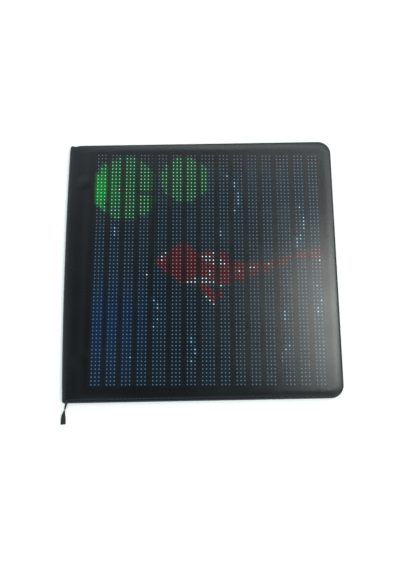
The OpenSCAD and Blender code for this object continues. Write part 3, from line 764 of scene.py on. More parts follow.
@dataclass(frozen=True)
class SleeveOutline:
    """The outline that both skins are cut to: four straight edges, each turned a little.

    Edge 0 is the right one, and the others follow it anticlockwise; the spine is the left one.
    """

    half_field: float = 32 * LAMP_PITCH_MM * MM
    margins: tuple[float, ...] = (13.2 * MM, 13.6 * MM, 25.5 * MM, 14.7 * MM)
    facing_deg: tuple[float, ...] = (0.4, 91.25, 180.6, 270.87)
    radii: tuple[float, ...] = (14 * MM, 3 * MM, 3 * MM, 14 * MM)
    least_radius: float = 2 * MM
    spine: int = 2
    spine_bow: float = 2 * MM
    bow_fade: float = 30 * MM
    corner_steps: int = 12
    side_steps: int = 72
    ring_step: float = 0.1 * MM
    pinch_depth: float = 1.1 * MM
    pinch_from_spine: float = 6.5 * MM
    pinch_width: float = 3 * MM
    pinch_reach: float = 9 * MM

    def facing(self, edge: int) -> float:
        """Returns the direction that an edge faces, in radians."""
        return math.radians(self.facing_deg[edge])

    def from_edge(self, edge: int, point: Vector) -> float:
        """Returns how far inside one straight edge a point is."""
        a = self.facing(edge)
        return (self.half_field + self.margins[edge]
                - point.x * math.cos(a) - point.y * math.sin(a))

    def corner(self, i: int, inset: float) -> Vector:
        """Finds where edge i meets the next one.

        Args:
            i: The first edge.
            inset: How far both are moved inwards.

        Returns:
            The meeting point.
        """
        k = (i + 1) % 4
        a, b = self.facing(i), self.facing(k)
        p, q = (self.half_field + self.margins[e] - inset for e in (i, k))
        across = p * math.sin(b) - q * math.sin(a), q * math.cos(a) - p * math.cos(b)
        return Vector(across) / math.sin(b - a)

    def bow(self, t: float, inset: float) -> Vector:
        """Returns how far the spine stands out at share t of its length, inset from its edge."""
        stand = 1 - (2 * min(1.0, max(0.0, t)) - 1) ** 2
        fade = max(0.0, 1 - max(0.0, inset) / self.bow_fade)
        a = self.facing(self.spine)
        return Vector((math.cos(a), math.sin(a))) * (self.spine_bow * stand * fade)

    def spine_point(self, t: float, inset: float) -> Vector:
        """Returns the point at share t down the spine, inset from its bowed edge."""
        top, bottom = self.corner(self.spine - 1, inset), self.corner(self.spine, inset)
        return top.lerp(bottom, t) + self.bow(t, inset)

    def rounded_corner(self, i: int, inset: float) -> list[Vector]:
        """Returns the points round one corner."""
        radius = max(self.least_radius, self.radii[i] - inset)
        middle = self.corner(i, inset + radius)
        start = self.facing(i)
        sweep = (self.facing((i + 1) % 4) - start) % (2 * math.pi)
        turns = [start + sweep * k / self.corner_steps for k in range(self.corner_steps + 1)]
        return [middle + radius * Vector((math.cos(a), math.sin(a))) for a in turns]

    @lru_cache(maxsize=None)
    def ring(self, step: int) -> tuple[Vector, ...]:
        """Traces the outline moved inwards by a number of ring steps.

        Args:
            step: The number of ring steps.

        Returns:
            The points anticlockwise from the top right corner's first, always as many.
        """
        inset = step * self.ring_step
        arcs = [self.rounded_corner(i, inset) for i in range(4)]
        points: list[Vector] = []
        for i, arc in enumerate(arcs):
            after = arcs[(i + 1) % 4][0]
            points += arc
            for k in range(1, self.side_steps):
                t = k / self.side_steps
                stand = self.bow(t, inset) if i == self.spine - 1 else Vector((0, 0))
                points.append(arc[-1].lerp(after, t) + stand)
        return tuple(self.pinched(p, inset) for p in points)

    def pinched(self, point: Vector, inset: float) -> Vector:
        """Draws the top edge in a little beside the spine, where the tape's end lifts the corner."""
        off = (self.from_edge(self.spine, point) - self.pinch_from_spine) / self.pinch_width
        near = math.exp(-off * off) if point.y > 0 else 0.0
        fade = max(0.0, 1 - inset / self.pinch_reach)
        return point - Vector((0, self.pinch_depth * near * fade))

    def at(self, i: int, inset: float) -> Vector:
        """Returns point i of the outline, moved inwards by any distance."""
        step = math.floor(inset / self.ring_step)
        return self.ring(step)[i].lerp(self.ring(step + 1)[i], inset / self.ring_step - step)

    def count(self) -> int:
        """Returns how many points a ring has."""
        return 4 * (self.corner_steps + self.side_steps)

    def depth(self, point: Vector) -> float:
        """Returns how far inside the rounded outline a point is."""
        depths = [self.from_edge(e, point) for e in range(4)]
        deep = min(depths)
        for i, radius in enumerate(self.radii):
            if max(depths[i], depths[(i + 1) % 4]) < radius:
                deep = min(deep, radius - (point - self.corner(i, radius)).length)
        return deep


@dataclass(frozen=True)
class Seam:
    """The sewn line round the three free edges, whose distance from the edge wanders a little."""

    outline: SleeveOutline
    right: float = 1.3 * MM
    top: float = 1.4 * MM
    bottom: float = 3.2 * MM
    blend: float = 4 * MM
    free_end: float = 3.4 * MM
    groove_depth: float = 0.15 * MM
    groove_width: float = 0.6 * MM
    groove_fade: float = 2 * MM

    @lru_cache(maxsize=None)
    def inset(self, i: int) -> float:
        """Returns the seam's distance from the edge at point i of the outline."""
        point = self.outline.ring(0)[i]
        pulls = [
            (1 / (max(0.0, self.outline.from_edge(edge, point)) + self.blend) ** 3, inset)
            for edge, inset in ((0, self.right), (1, self.top), (3, self.bottom))]
        return sum(w * inset for w, inset in pulls) / sum(w for w, _ in pulls)

    def groove(self, i: int, inset: float) -> float:
        """Returns how deep the thread draws a skin in, at point i and a distance from the edge."""
        off = (inset - self.inset(i)) / self.groove_width
        from_spine = self.outline.from_edge(self.outline.spine, self.outline.ring(0)[i])
        sewn = smooth((from_spine - self.free_end) / self.groove_fade)
        return self.groove_depth * math.exp(-off * off) * sewn

    def line(self) -> list[tuple[Vector, float]]:
        """Returns the seam's points, each with its inset, from the spine's bottom end to its top."""
        o = self.outline
        side = o.corner_steps + o.side_steps
        order = [(k + 2 * side + o.corner_steps) % o.count() for k in range(o.count())]
        points = [(o.at(i, self.inset(i)), self.inset(i)) for i in order]
        return [(p, inset) for p, inset in points if o.from_edge(o.spine, p) > self.free_end]


# ---- Skins ----


@dataclass
class FrontSkin:
    """The leather over the lamps: flat on them, rounded over its padded edge and turned under."""

    outline: SleeveOutline
    seam: Seam
    picture: PondPicture
    finish: Finish
    top: float = 8.0 * MM
    thickness: float = 0.8 * MM
    edge_drop: float = 0.6 * MM
    lip_radius: float = 2.2 * MM
    hem_under: float = 1.0 * MM
    hem_top: float = 2.0 * MM
    hem_width: float = 6 * MM
    hem_from_spine: Point2 = (5.4 * MM, 6.8 * MM)
    fold_radii: Point2 = (0.15 * MM, 0.6 * MM)
    fold_gap: float = 0.05 * MM
    flat_inset: float = 10 * MM
    crown_steps: int = 16
    lip_steps: int = 8
    fold_steps: int = 5
    grid_gap: float = 1.2 * MM
    magnets: tuple[Point2, ...] = ((-137.5 * MM, 93.4 * MM), (-135.5 * MM, -102.4 * MM))
    magnet_rise: float = 0.3 * MM
    magnet_spread: float = 6.6 * MM
    wave_height: float = 0.05 * MM
    waves: tuple[tuple[float, float, float], ...] = ((31, 9, 0), (14, -37, 1.3), (53, 21, 4.1))
    sag: float = 0.25 * MM
    sag_beside_lamps: Point2 = (1 * MM, 10 * MM)
    lift_width: float = 6 * MM

    def face(self, inset: float) -> float:
        """Returns the outside's height at a distance from the edge."""
        lip = self.lip_radius
        if inset < lip:
            return self.lip_middle() + math.sqrt(lip * lip - (lip - inset) ** 2)
        share = max(0.0, self.flat_inset - inset) / (self.flat_inset - lip)
        return self.top - self.edge_drop * share * share

    def lip_middle(self) -> float:
        """Returns the height of the middle of the edge's rounding."""
        return self.top - self.edge_drop - self.lip_radius

    def lift(self, point: Vector) -> float:
        """Returns how far the face stands above flat at a point.

        Two magnets push it up a little, the coat lies in slow waves where the boards bend, and
        it sinks over the soft border beside the lamps.
        """
        rise = sum(math.exp(-((point - Vector(m)).length / self.magnet_spread) ** 4)
                   for m in self.magnets)
        x, y = point
        wave = sum(math.sin(a * x + b * y + start) for a, b, start in self.waves)
        beside = eased(-x - self.outline.half_field, *self.sag_beside_lamps)
        return self.magnet_rise * rise + self.wave_height * wave - self.sag * beside

    def section(self, turned: float) -> tuple[list[Point2], int]:
        """Traces the skin's section from the flat out to the fold, under, and back inside.

        Args:
            turned: How fully the hem is turned under, 0 along the spine and 1 elsewhere.

        Returns:
            Inset and height of each point, and how many points show from outside.
        """
        low, middle = lerp(self.hem_top, self.hem_under, turned), self.lip_middle()
        fold, skin = lerp(*self.fold_radii, turned), self.thickness
        crown = [lerp(self.flat_inset, self.lip_radius, k / self.crown_steps)
                 for k in range(self.crown_steps + 1)]
        points = [(inset, self.face(inset)) for inset in crown]
        points += rounding(self.lip_radius, middle, 0, self.lip_steps)[1:]
        points += [(0.0, lerp(middle, low + fold, k / 3)) for k in (1, 2)]
        points += rounding(fold, low + fold, 1, self.fold_steps)
        end = lerp(skin + self.fold_gap, self.hem_width, turned)
        points += [(lerp(fold, end, 0.5), low), (end, low)]
        shown = len(points)
        points += [(end, self.hem_top), (skin, self.hem_top)]
        inner = rounding(self.lip_radius - skin, middle, 0, self.lip_steps // 2)
        points += [(inset + skin, height) for inset, height in reversed(inner)]
        points += [(inset, self.face(inset) - skin) for inset in reversed(crown[:-1:2])]
        return points, shown

    def turned(self, i: int) -> float:
        """Returns how fully the hem is turned under at point i of the outline."""
        o = self.outline
        return eased(o.from_edge(o.spine, o.ring(0)[i]), *self.hem_from_spine)

    def rows(self) -> tuple[list[list[Vector]], int]:
        """Places the section at every point of the outline.

        Returns:
            The rings of points, from the flat's edge out and back inside, and how many show.
        """
        o = self.outline
        columns, shown = [], 0
        for i in range(o.count()):
            points, shown = self.section(self.turned(i))
            column = []
            for k, (inset, height) in enumerate(points):
                place = o.at(i, inset)
                if k <= self.crown_steps + self.lip_steps:
                    raised = smooth((inset - self.lip_radius) / self.lift_width)
                    height += raised * self.lift(place) - self.seam.groove(i, inset)
                column.append(Vector((*place, height)))
            columns.append(column)
        return [list(row) for row in zip(*columns)], shown

    def grid(self) -> list[Vector]:
        """Returns points over the flat face on the lamps' own grid, twice as fine beside it."""
        half = self.picture.pitch / 2
        edge = self.outline.half_field
        reach = math.ceil((edge + max(self.outline.margins)) / half)
        points = []
        for c in range(-reach, reach + 1):
            for r in range(-reach, reach + 1):
                point = Vector((c * half, r * half))
                lamps = max(abs(point.x), abs(point.y)) < edge
                if lamps and (c % 2 == 0 or r % 2 == 0):
                    continue
                if self.outline.depth(point) > self.flat_inset + self.grid_gap:
                    points.append(point)
        return points

    def build(self) -> bpy.types.Object:
        """Builds the skin as one closed sheet.

        Returns:
            The piece.
        """
        build = bmesh.new()
        core = build.verts.layers.float_color.new("lamp_core")
        glow = build.verts.layers.float_color.new("lamp_glow")
        rows, shown = self.rows()
        rings = [[build.verts.new(p) for p in row] for row in rows]
        count = self.outline.count()
        for j in range(len(rings) - 1):
            for i in range(count):
                k = (i + 1) % count
                face = build.faces.new((rings[j][i], rings[j + 1][i], rings[j + 1][k], rings[j][k]))
                face.tag = j + 1 >= shown
        light = self.picture.light()
        ring = rings[0]
        made = delaunay_2d_cdt([v.co.to_2d() for v in ring] + self.grid(), [],
                               [list(range(count))], 1, HAIR)
        verts = []
        for place, origin in zip(made[0], made[3]):
            at_edge = origin and origin[0] < count
            verts.append(ring[origin[0]] if at_edge else
                         build.verts.new((*place, self.top + self.lift(place))))
        for triangle in made[2]:
            build.faces.new([verts[v] for v in triangle])
        inner = build.faces.new(rings[-1][::-1])
        inner.tag = True
        inside = {vert for row in rings[1:] for vert in row}
        for vert in build.verts:
            self.colour(vert, core, glow, {} if vert in inside else light)
        self.unfold(build)
        return new_piece("front_skin", finished_mesh("front_skin", build), self.finish.build())

    def colour(
        self, vert: bmesh.types.BMVert, core: bmesh.types.BMLayerItem,
        glow: bmesh.types.BMLayerItem, light: dict[tuple[int, int], tuple[Colour, Colour]],
    ) -> None:
        """Stores the light of the lamp that lies under a point of the grid.

        Args:
            vert: The point.
            core: The layer of the points' colours.
            glow: The layer of the glows' colours.
            light: Every lamp's two colours.
        """
        picture = self.picture
        column = round(vert.co.x / picture.pitch + (picture.columns - 1) / 2)
        row = round((picture.rows - 1) / 2 - vert.co.y / picture.pitch)
        dark = (0.0, 0.0, 0.0)
        point, around = light.get((column, row), (dark, dark))
        vert[core] = (*point, 1)
        vert[glow] = (*around, 1)

    def unfold(self, build: bmesh.types.BMesh) -> None:
        """Lays the faces out flat: the outer side large, the inner side small in a corner.

        What lies lower is moved outwards, so that the edge and the hem have a width of their own.
        """
        flat = build.loops.layers.uv.new("OFBake")
        side, slope, middle = 345 * MM, 280 * MM, 0.475
        corner, small = 0.965, 0.03
        for face in build.faces:
            for loop in face.loops:
                p = loop.vert.co
                out = 1 + max(0.0, self.top - p.z) / slope
                u, v = middle + p.x * out / side, middle + p.y * out / side
                inner = corner + small * u, corner + small * v
                loop[flat].uv = inner if face.tag else (u, v)


@dataclass
class BackSkin:
    """The flat leather under the sleeve, with the eyelet's seat in it and the seam round it."""

    outline: SleeveOutline
    seam: Seam
    finish: Finish
    eyelet_at: Vector
    thickness: float = 1.0 * MM
    seat_radius: float = 7.0 * MM
    seat_depth: float = 0.5 * MM
    hole_radius: float = 4.0 * MM
    hole_steps: int = 48
    hole_share: float = 0.98
    inner_inset: float = 6 * MM
    band_steps: int = 16
    edge_radius: float = 0.4 * MM
    edge_steps: int = 4

    def section(self) -> list[Point2]:
        """Returns inset and height round the skin's edge, from underneath to the top."""
        radius = self.edge_radius
        points = [(lerp(self.inner_inset, radius, k / self.band_steps), 0.0)
                  for k in range(self.band_steps)]
        points += rounding(radius, radius, 1, self.edge_steps)[::-1]
        points += rounding(radius, self.thickness - radius, 0, self.edge_steps)[::-1]
        return points + [(self.inner_inset, self.thickness)]

    def circle(self, radius: float, height: float) -> list[Vector]:
        """Returns a circle of points round the eyelet's middle."""
        turns = [2 * math.pi * k / self.hole_steps for k in range(self.hole_steps)]
        x, y = self.eyelet_at
        return [Vector((x + radius * math.cos(a), y + radius * math.sin(a), height))
                for a in turns]

    def build(self) -> bpy.types.Object:
        """Builds the skin: its outer band, the eyelet's seat and hole, and its two flats.

        Returns:
            The piece.
        """
        build = bmesh.new()
        o = self.outline
        rings = []
        for inset, height in self.section():
            low = height < HAIR
            rings.append([
                build.verts.new((*o.at(i, inset), height + low * self.seam.groove(i, inset)))
                for i in range(o.count())])
        walls = ((self.seat_radius, 0.0), (self.seat_radius, self.seat_depth),
                 (self.hole_radius, self.seat_depth), (self.hole_radius, self.thickness))
        holes = [[build.verts.new(p) for p in self.circle(r, z)] for r, z in walls]
        for loops in (rings, holes):
            for a, b in zip(loops, loops[1:]):
                for i in range(len(a)):
                    k = (i + 1) % len(a)
                    build.faces.new((a[i], b[i], b[k], a[k]))
        self.fill(build, rings[0], holes[0], self.seat_radius)
        self.fill(build, rings[-1], holes[-1], self.hole_radius)
        return new_piece("back_skin", finished_mesh("back_skin", build), self.finish.build())

    def fill(
        self, build: bmesh.types.BMesh, ring: list[bmesh.types.BMVert],
        hole: list[bmesh.types.BMVert], radius: float,
    ) -> None:
        """Fills the flat between a ring and a hole.

        A triangle is left out if its middle lies within hole_share of the hole's radius. Some thin
        ones at the very rim, up to 0.14 mm wide, lie further out and stay in.

        Args:
            build: The skin's bmesh.
            ring: The flat's outer points.
            hole: The points round the hole.
            radius: The hole's radius.
        """
        n, m = len(ring), len(hole)
        made = delaunay_2d_cdt(
            [v.co.to_2d() for v in ring + hole],
            [(n + i, n + (i + 1) % m) for i in range(m)], [list(range(n))], 1, HAIR)
        known = [(ring + hole)[origin[0]] for origin in made[3]]
        for triangle in made[2]:
            middle = sum((made[0][v] for v in triangle), Vector((0, 0))) / 3
            if (middle - self.eyelet_at).length > radius * self.hole_share:
                build.faces.new([known[v] for v in triangle])


@dataclass
class LeadEyelet:
    """The plated eyelet in the back skin: a flange outside, a barrel, and a rolled inner edge."""

    middle: Vector
    finish: Finish
    steps: int = 64
    sharp_deg: float = 42
    profile_mm: tuple[Point2, ...] = (
        (3.5, 1.15), (3.5, 0.75), (3.62, 0.42), (3.95, 0.16), (4.5, 0.03), (5.3, 0.0),
        (6.2, 0.05), (6.75, 0.16), (7.0, 0.34), (6.96, 0.5), (4.0, 0.5), (4.0, 1.0),
        (5.35, 1.0), (5.5, 1.2), (5.3, 1.46), (4.9, 1.58), (4.4, 1.6), (3.85, 1.5), (3.58, 1.34))

    def build(self) -> bpy.types.Object:
        """Turns the profile round the eyelet's middle.

        Returns:
            The piece.
        """
        build = bmesh.new()
        rings = []
        for s in range(self.steps):
            a = 2 * math.pi * s / self.steps
            rings.append([
                build.verts.new((self.middle.x + r * MM * math.cos(a),
                                 self.middle.y + r * MM * math.sin(a), z * MM))
                for r, z in self.profile_mm])
        points = len(self.profile_mm)
        for s in range(self.steps):
            a, b = rings[s], rings[(s + 1) % self.steps]
            for k in range(points):
                n = (k + 1) % points
                build.faces.new((a[k], b[k], b[n], a[n]))
        mesh = finished_mesh("rolled_eyelet", build, self.sharp_deg)
        return new_piece("rolled_eyelet", mesh, self.finish.build())


@dataclass
class SpineTape:
    """The woven tape along the spine, whose loose end twists out at the bottom corner."""

    outline: SleeveOutline
    finish: Finish
    width: float = 5.2 * MM
    neck_width: float = 2.4 * MM
    thickness: float = 1.0 * MM
    loose_thickness: float = 0.8 * MM
    stands_out: float = 1.4 * MM
    height: float = 1.5 * MM
    corner_to_neck_mm: Point2 = (3.6, 0.4)
    loose_curve_mm: tuple[Point2, ...] = ((-0.8, -4), (-3.2, -11), (-2.5, -22))
    start: float = 0.012
    leaves_at: float = 0.95
    twist_deg: float = 165
    twists: Point2 = (0.05, 0.90)
    widens: Point2 = (0.2, 1.0)
    thins: Point2 = (0.0, 1 / 3)
    falls: Point2 = (0.06, 0.36)
    held_steps: int = 40
    loose_steps: int = 64
    look_ahead: float = 0.01
    edge_steps: int = 4
    sharp_deg: float = 60

    def loose_point(self, t: float) -> Vector:
        """Returns the loose end's point at share t from the corner to its tip."""
        a = self.outline.corner(self.outline.spine, 0) + Vector(self.corner_to_neck_mm) * MM
        b, c, d = (a + Vector(v) * MM for v in self.loose_curve_mm)
        return a * (1 - t) ** 3 + b * 3 * t * (1 - t) ** 2 + c * 3 * t * t * (1 - t) + d * t ** 3

    def stations(self) -> list[tuple[Vector, float, float, float, float]]:
        """Lists the tape's cross-sections.

        Returns:
            Middle, direction, width, twist and thickness of each, angles in radians.
        """
        o = self.outline
        inset = self.width / 2 - self.stands_out
        down = o.facing(o.spine) + math.pi / 2
        found = []
        for k in range(self.held_steps + 1):
            place = o.spine_point(lerp(self.start, self.leaves_at, k / self.held_steps), inset)
            found.append((Vector((*place, self.height)), down, self.width, 0.0, self.thickness))
        for k in range(self.loose_steps + 1):
            t = k / self.loose_steps
            place = self.loose_point(t)
            ahead = self.loose_point(t + self.look_ahead) - place
            twist = math.radians(self.twist_deg) * eased(t, *self.twists)
            width = lerp(self.neck_width, self.width, eased(t, *self.widens))
            thick = lerp(self.thickness, self.loose_thickness, eased(t, *self.thins))
            rest = width / 2 * abs(math.sin(twist)) + thick / 2 * abs(math.cos(twist))
            z = lerp(self.height, rest, eased(t, *self.falls))
            found.append((Vector((*place, z)), math.atan2(ahead.y, ahead.x), width, twist, thick))
        return found

    def edge(self, width: float, thickness: float) -> list[Point2]:
        """Returns the points round one cross-section, rounded at its two edges."""
        radius = thickness / 2
        flat = width / 2 - radius
        points = []
        for side in (1, -1):
            for k in range(self.edge_steps + 1):
                a = math.pi * (k / self.edge_steps - 0.5)
                points.append((side * (flat + radius * math.cos(a)), side * radius * math.sin(a)))
            points += [(side * flat / 3, side * radius), (-side * flat / 3, side * radius)]
        return points

    def build(self) -> bpy.types.Object:
        """Builds the tape as one closed strip with its weave's coordinates.

        Returns:
            The piece.
        """
        build = bmesh.new()
        run = build.loops.layers.uv.new("tape")
        rings, places, length, before = [], {}, 0.0, None
        for middle, heading, width, twist, thick in self.stations():
            side = Vector((-math.sin(heading), math.cos(heading), 0))
            flat = side * math.cos(twist) + Vector((0, 0, math.sin(twist)))
            up = Vector((0, 0, math.cos(twist))) - side * math.sin(twist)
            length += (middle - before).length if before else 0.0
            before = middle
            ring = []
            for across, off in self.edge(width, thick):
                vert = build.verts.new(middle + flat * across + up * off)
                places[vert] = (length, across + off)
                ring.append(vert)
            rings.append(ring)
        n = len(rings[0])
        for a, b in zip(rings, rings[1:]):
            for k in range(n):
                build.faces.new((a[k], b[k], b[(k + 1) % n], a[(k + 1) % n]))
        build.faces.new(rings[0][::-1])
        build.faces.new(rings[-1])
        for face in build.faces:
            for loop in face.loops:
                loop[run].uv = places[loop.vert]
        mesh = finished_mesh("woven_tape", build, self.sharp_deg)
        return new_piece("woven_tape", mesh, self.finish.build())


@dataclass
class SeamStitches:
    """Lockstitches of dark thread round the free edges, seen on the front and on the back."""

    seam: Seam
    face: Callable[[float], float]
    finish: Finish
    spacing: float = 3.78 * MM
    length: float = 2.4 * MM
    thread: float = 0.85 * MM
    front_stand: float = 0.1 * MM
    back_height: float = 0.24 * MM
    bead_sides: int = 8
    bead_rings: int = 6

    def tree(self, material: bpy.types.Material) -> bpy.types.NodeTree:
        """Builds the node tree that lays one stitch after another along a path.

        Args:
            material: The thread's material.

        Returns:
            The tree, with the stitches' sizes as its inputs.
        """
        tree = bpy.data.node_groups.new("lay_stitches", "GeometryNodeTree")
        face = tree.interface
        face.new_socket("Path", in_out="INPUT", socket_type="NodeSocketGeometry")
        for name in ("Spacing", "Stitch length", "Thread width"):
            face.new_socket(name, in_out="INPUT", socket_type="NodeSocketFloat")
        face.new_socket("Stitches", in_out="OUTPUT", socket_type="NodeSocketGeometry")
        given = add_node(tree, "NodeGroupInput").outputs
        path = add_node(tree, "GeometryNodeMeshToCurve", None, {"Mesh": given["Path"]})
        places = add_node(tree, "GeometryNodeResampleCurve", {"mode": "LENGTH"}, {
            "Curve": path.outputs[0], "Length": given["Spacing"]})
        heading = add_node(tree, "GeometryNodeInputTangent")
        turn = add_node(tree, "FunctionNodeAlignRotationToVector", {"axis": "X"}, {
            "Vector": heading.outputs[0]})
        bead = add_node(tree, "GeometryNodeMeshUVSphere", None, {
            "Segments": self.bead_sides, "Rings": self.bead_rings, "Radius": 0.5})
        size = add_node(tree, "ShaderNodeCombineXYZ", None, {
            0: given["Stitch length"], 1: given["Thread width"], 2: given["Thread width"]})
        lay = add_node(tree, "GeometryNodeInstanceOnPoints", None, {
            "Points": places.outputs[0], "Instance": bead.outputs[0],
            "Rotation": turn.outputs[0], "Scale": size.outputs[0]})
        real = add_node(tree, "GeometryNodeRealizeInstances", None, {0: lay.outputs[0]})
        rounded = add_node(tree, "GeometryNodeSetShadeSmooth", None, {0: real.outputs[0]})
        dressed = add_node(tree, "GeometryNodeSetMaterial", None, {
            "Geometry": rounded.outputs[0], "Material": material})
        add_node(tree, "NodeGroupOutput", None, {0: dressed.outputs[0]})
        return tree

    def build(self) -> bpy.types.Object:
        """Lays the stitches on both faces and makes them one plain mesh.

        Returns:
            The piece.
        """
        path = bpy.data.meshes.new("seam_path")
        line = self.seam.line()
        sunk = self.seam.groove_depth - self.front_stand
        rows = [[(*p, self.face(inset) - sunk) for p, inset in line],
                [(*p, self.back_height) for p, _ in line]]
        links = [(k + start, k + start + 1) for start in (0, len(line))
                 for k in range(len(line) - 1)]
        path.from_pydata(rows[0] + rows[1], links, [])
        material = self.finish.build()
        carrier = new_piece("seam_path", path, material)
        sewing = carrier.modifiers.new("sewing", "NODES")
        sewing.node_group = self.tree(material)
        sizes = {"Spacing": self.spacing, "Stitch length": self.length,
                 "Thread width": self.thread}
        for item in sewing.node_group.interface.items_tree:
            if item.name in sizes:
                sewing[item.identifier] = sizes[item.name]
        view = bpy.context.evaluated_depsgraph_get()
        mesh = bpy.data.meshes.new_from_object(carrier.evaluated_get(view))
        carrier.modifiers.remove(sewing)
        bpy.data.objects.remove(carrier)
        mesh.name = "seam_stitches"
        return new_piece("seam_stitches", mesh, material)


# ---- The sleeve and what is in it ----


@dataclass
class Sleeve:
    """The two skins, the tape, the eyelet and the seam, in place of their plain solids."""

    eyelet_box: tuple[Vector, Vector]
    front_leather: Finish = LitLeather(
        "coated_leather_over_lamps", "#010306", "#03080c", roughness=0.27, gloss_range=0.02,
        specular=0.64, relief_mm=0.010, patch_mm=38)
    back_leather: Finish = CoatedLeather(
        "coated_leather", "#0e0f10", "#1a1b1d", roughness=0.42, gloss_range=0.04, relief_mm=0.06,
        patch_mm=38)
    tape_web: Finish = WovenTape(
        "woven_polyester_tape", "#060607", "#1b1c1e", roughness=0.62, relief_mm=0.12)
    thread: Finish = TwistedThread(
        "bonded_polyester_thread", "#2a2b2e", "#3b3d40", roughness=0.85, specular=0.15,
        relief_mm=0.06)
    nickel: Finish = PlatedMetal(
        "nickel_plate", "#8d8c87", "#b3b1aa", roughness=0.24, metallic=1.0, relief_mm=0.01)

    def build(self) -> list[bpy.types.Object]:
        """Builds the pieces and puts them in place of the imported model's solids.

        Returns:
            The pieces.
        """
        low, high = self.eyelet_box
        middle = ((low + high) / 2).to_2d()
        outline = SleeveOutline()
        seam = Seam(outline)
        skin = FrontSkin(outline, seam, PondPicture(), self.front_leather)
        front = skin.build()
        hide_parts("front_cover")
        back = BackSkin(outline, seam, self.back_leather, middle).build()
        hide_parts("back_cover")
        tape = SpineTape(outline, self.tape_web).build()
        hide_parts("spine_tape")
        eyelet = LeadEyelet(middle, self.nickel).build()
        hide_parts("lead_eyelet")
        stitches = SeamStitches(seam, skin.face, self.thread).build()
        pieces = [front, back, tape, eyelet, stitches]
        for piece in pieces:
            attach(piece, BODY)
        return pieces


@dataclass
class Contents:
    """The padding, boards, chips and wiring inside, whose shapes stay as they are packed."""

    finishes: tuple[tuple[str, Finish], ...] = (
        ("foam", CellFoam("closed_cell_foam", "#1d1e20", "#3c3d40", roughness=0.85,
                          relief_mm=0.15)),
        ("magnet_nickel", PlatedMetal("nickel_plated_magnet", "#9c9ea0", "#b9bcbf",
                                      roughness=0.28, metallic=1.0, relief_mm=0.01)),
        ("board_black", CircuitBoard("black_solder_resist", "#0b0d0f", "#191d20",
                                     roughness=0.38)),
        ("lamp_resin", LampResin("lamp_package_resin", "#a7a38d", "#dcdad2", roughness=0.35,
                                 relief_mm=0.08)),
        ("chip_black", Finish("moulded_epoxy", "#131415", "#222426", roughness=0.62,
                              grain_mm=0.25)),
        ("capacitor_ochre", Finish("moulded_capacitor_case", "#a8781f", "#c9972f",
                                   roughness=0.5)),
        ("socket_nylon", Finish("moulded_nylon", "#cfcabc", "#e6e2d6", roughness=0.42)),
        ("plug_nylon", Finish("moulded_plug_nylon", "#d8d5c9", "#ebe8de", roughness=0.42)),
        ("ribbon_film", RibbonFilm("laminated_ribbon_film", "#a9a79f", "#d9d8d2",
                                   roughness=0.4, relief_mm=0.05)),
        ("wire_jacket", WirePair("extruded_vinyl_jackets", "#17181a", "#b3231f",
                                 roughness=0.36, grain_mm=0.6)),
        ("board_green", CircuitBoard("green_solder_resist", "#124a26", "#1e6b38",
                                     roughness=0.34)),
        ("board_blue", CircuitBoard("blue_solder_resist", "#12305f", "#1d4686",
                                    roughness=0.34, track_mm=0.8)),
        ("shield_tin", PlatedMetal("tin_plated_steel", "#a4a6a6", "#c6c8c8", roughness=0.3,
                                   metallic=1.0, relief_mm=0.01)),
        ("ferrite", Finish("pressed_ferrite", "#26272a", "#3a3b3e", roughness=0.7,
                           grain_mm=0.3)),
    )

    def dress(self, frame: dict, replaced: set[str]) -> list[str]:
        """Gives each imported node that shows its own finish.

        Args:
            replaced: The nodes that other pieces stand for.

        Returns:
            The names of the dressed nodes.
        """
        made = {slot: finish.build() for slot, finish in self.finishes}
        dressed = []
        for part in frame["record"]["subparts"]:
            if part["node"] in replaced:
                continue
            node = frame["nodes"][part["node"]]
            node.data.materials.clear()
            node.data.materials.append(made[part["material_slot"]])
            dressed.append(part["node"])
        return dressed


# ---- The studio ----


@dataclass(frozen=True)
class SoftLamp:
    """A flat soft lamp that faces the sleeve."""

    name: str
    place: tuple[float, float, float]
    size: Point2
    watts: float
    tint: str = "#ffffff"

    def build(self) -> bpy.types.Object:
        """Adds the lamp, turned towards the sleeve."""
        light = bpy.data.lights.new(self.name, "AREA")
        light.shape = "RECTANGLE"
        light.size, light.size_y = self.size
        light.energy = self.watts
        light.color = linear(self.tint)
        holder = bpy.data.objects.new(self.name, light)
        bpy.context.scene.collection.objects.link(holder)
        holder.location = self.place
        holder.rotation_euler = (-Vector(self.place)).to_track_quat("-Z", "Y").to_euler()
        return holder


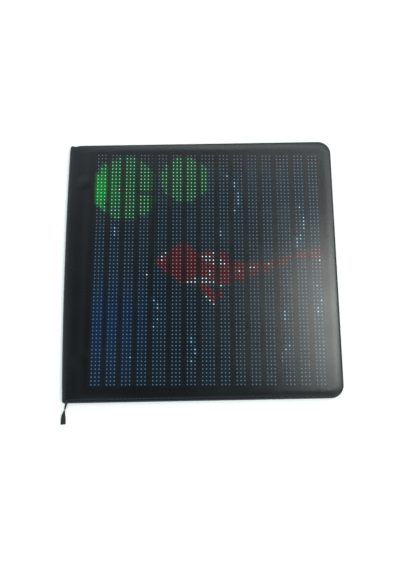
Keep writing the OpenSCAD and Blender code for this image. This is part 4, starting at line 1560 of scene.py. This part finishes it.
@dataclass
class Studio:
    """A white paper floor, two soft lamps, a pale surround dimmer overhead, and a camera."""

    lamps: tuple[SoftLamp, ...] = (
        SoftLamp("right_lamp", (0.740, 0.062, 1.40), (0.64, 0.45), 7.4, "#fafff9"),
        SoftLamp("far_lamp", (0.624, 1.042, 1.50), (2.42, 0.20), 4.9, "#fafff9"))
    overhead: float = 0.09
    surround: float = 1.0
    overhead_deg: Point2 = (17.0, 41.0)
    surround_tint: str = "#edfaff"
    camera_at: tuple[float, float, float] = (-0.01461, -0.08786, 0.45703)
    camera_turn_deg: tuple[float, float, float] = (8.432, -0.744, -0.122)
    camera_lens: float = 37.96
    sensor_width: float = 36
    paper_half: float = 4
    paper_gap: float = 0.2 * MM
    paper: Finish = StudioPaper("matt_paper", "#f4f4f3", "#f8f8f7", roughness=0.9,
                                relief_mm=0.01, patch_mm=120)

    def build(self) -> None:
        """Builds the floor, the lights, the world and the camera."""
        self.floor()
        self.lights()
        self.camera()
        bpy.context.scene.view_settings.view_transform = "Standard"

    def floor(self) -> None:
        """Lays the paper just under the sleeve."""
        build = bmesh.new()
        bmesh.ops.create_grid(build, x_segments=1, y_segments=1, size=self.paper_half)
        for vert in build.verts:
            vert.co.z = -self.paper_gap
        mesh = bpy.data.meshes.new("paper_floor")
        build.to_mesh(mesh)
        build.free()
        new_piece("paper_floor", mesh, self.paper.build())

    def lights(self) -> None:
        """Adds the soft lamps, and a pale surround that is dimmer round the camera overhead."""
        [lamp.build() for lamp in self.lamps]
        world = bpy.data.worlds.new("studio_surround")
        world.use_nodes = True
        tree = world.node_tree
        tree.nodes.clear()
        way = add_node(tree, "ShaderNodeTexCoord").outputs["Generated"]
        height = add_node(tree, "ShaderNodeSeparateXYZ", None, {0: way}).outputs[2]
        angle = add_node(tree, "ShaderNodeMath", {"operation": "ARCCOSINE"}, {0: height})
        near, far = (math.radians(a) for a in self.overhead_deg)
        level = add_node(tree, "ShaderNodeMapRange", {"interpolation_type": "SMOOTHSTEP"}, {
            0: angle.outputs[0], 1: near, 2: far, 3: self.overhead, 4: self.surround})
        even = add_node(tree, "ShaderNodeBackground", None, {
            "Color": (*linear(self.surround_tint), 1), "Strength": level.outputs[0]})
        add_node(tree, "ShaderNodeOutputWorld", None, {"Surface": even.outputs[0]})
        bpy.context.scene.world = world

    def camera(self) -> None:
        """Sets the camera above the sleeve's lower half, looking almost straight down."""
        eye = bpy.data.cameras.new("camera")
        eye.sensor_fit = "HORIZONTAL"
        eye.sensor_width = self.sensor_width
        eye.lens = self.camera_lens
        eye.clip_start = 0.01
        holder = bpy.data.objects.new("camera", eye)
        bpy.context.scene.collection.objects.link(holder)
        holder.location = self.camera_at
        holder.rotation_euler = [math.radians(a) for a in self.camera_turn_deg]
        bpy.context.scene.camera = holder


def main() -> None:
    """Builds the sleeve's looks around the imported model, in order."""
    logging.basicConfig(level=logging.INFO, format="%(name)s: %(message)s")
    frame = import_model()
    for piece in Sleeve(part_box("lead_eyelet")).build():
        LOG.info("built %s with %d faces", piece.name, len(piece.data.polygons))
    replaced = {"front_cover", "back_cover", "spine_tape", "lead_eyelet"}
    for name in Contents().dress(frame, replaced):
        LOG.info("dressed %s", name)
    Studio().build()
    LOG.info("built the studio")


if __name__ == "__main__":
    main()
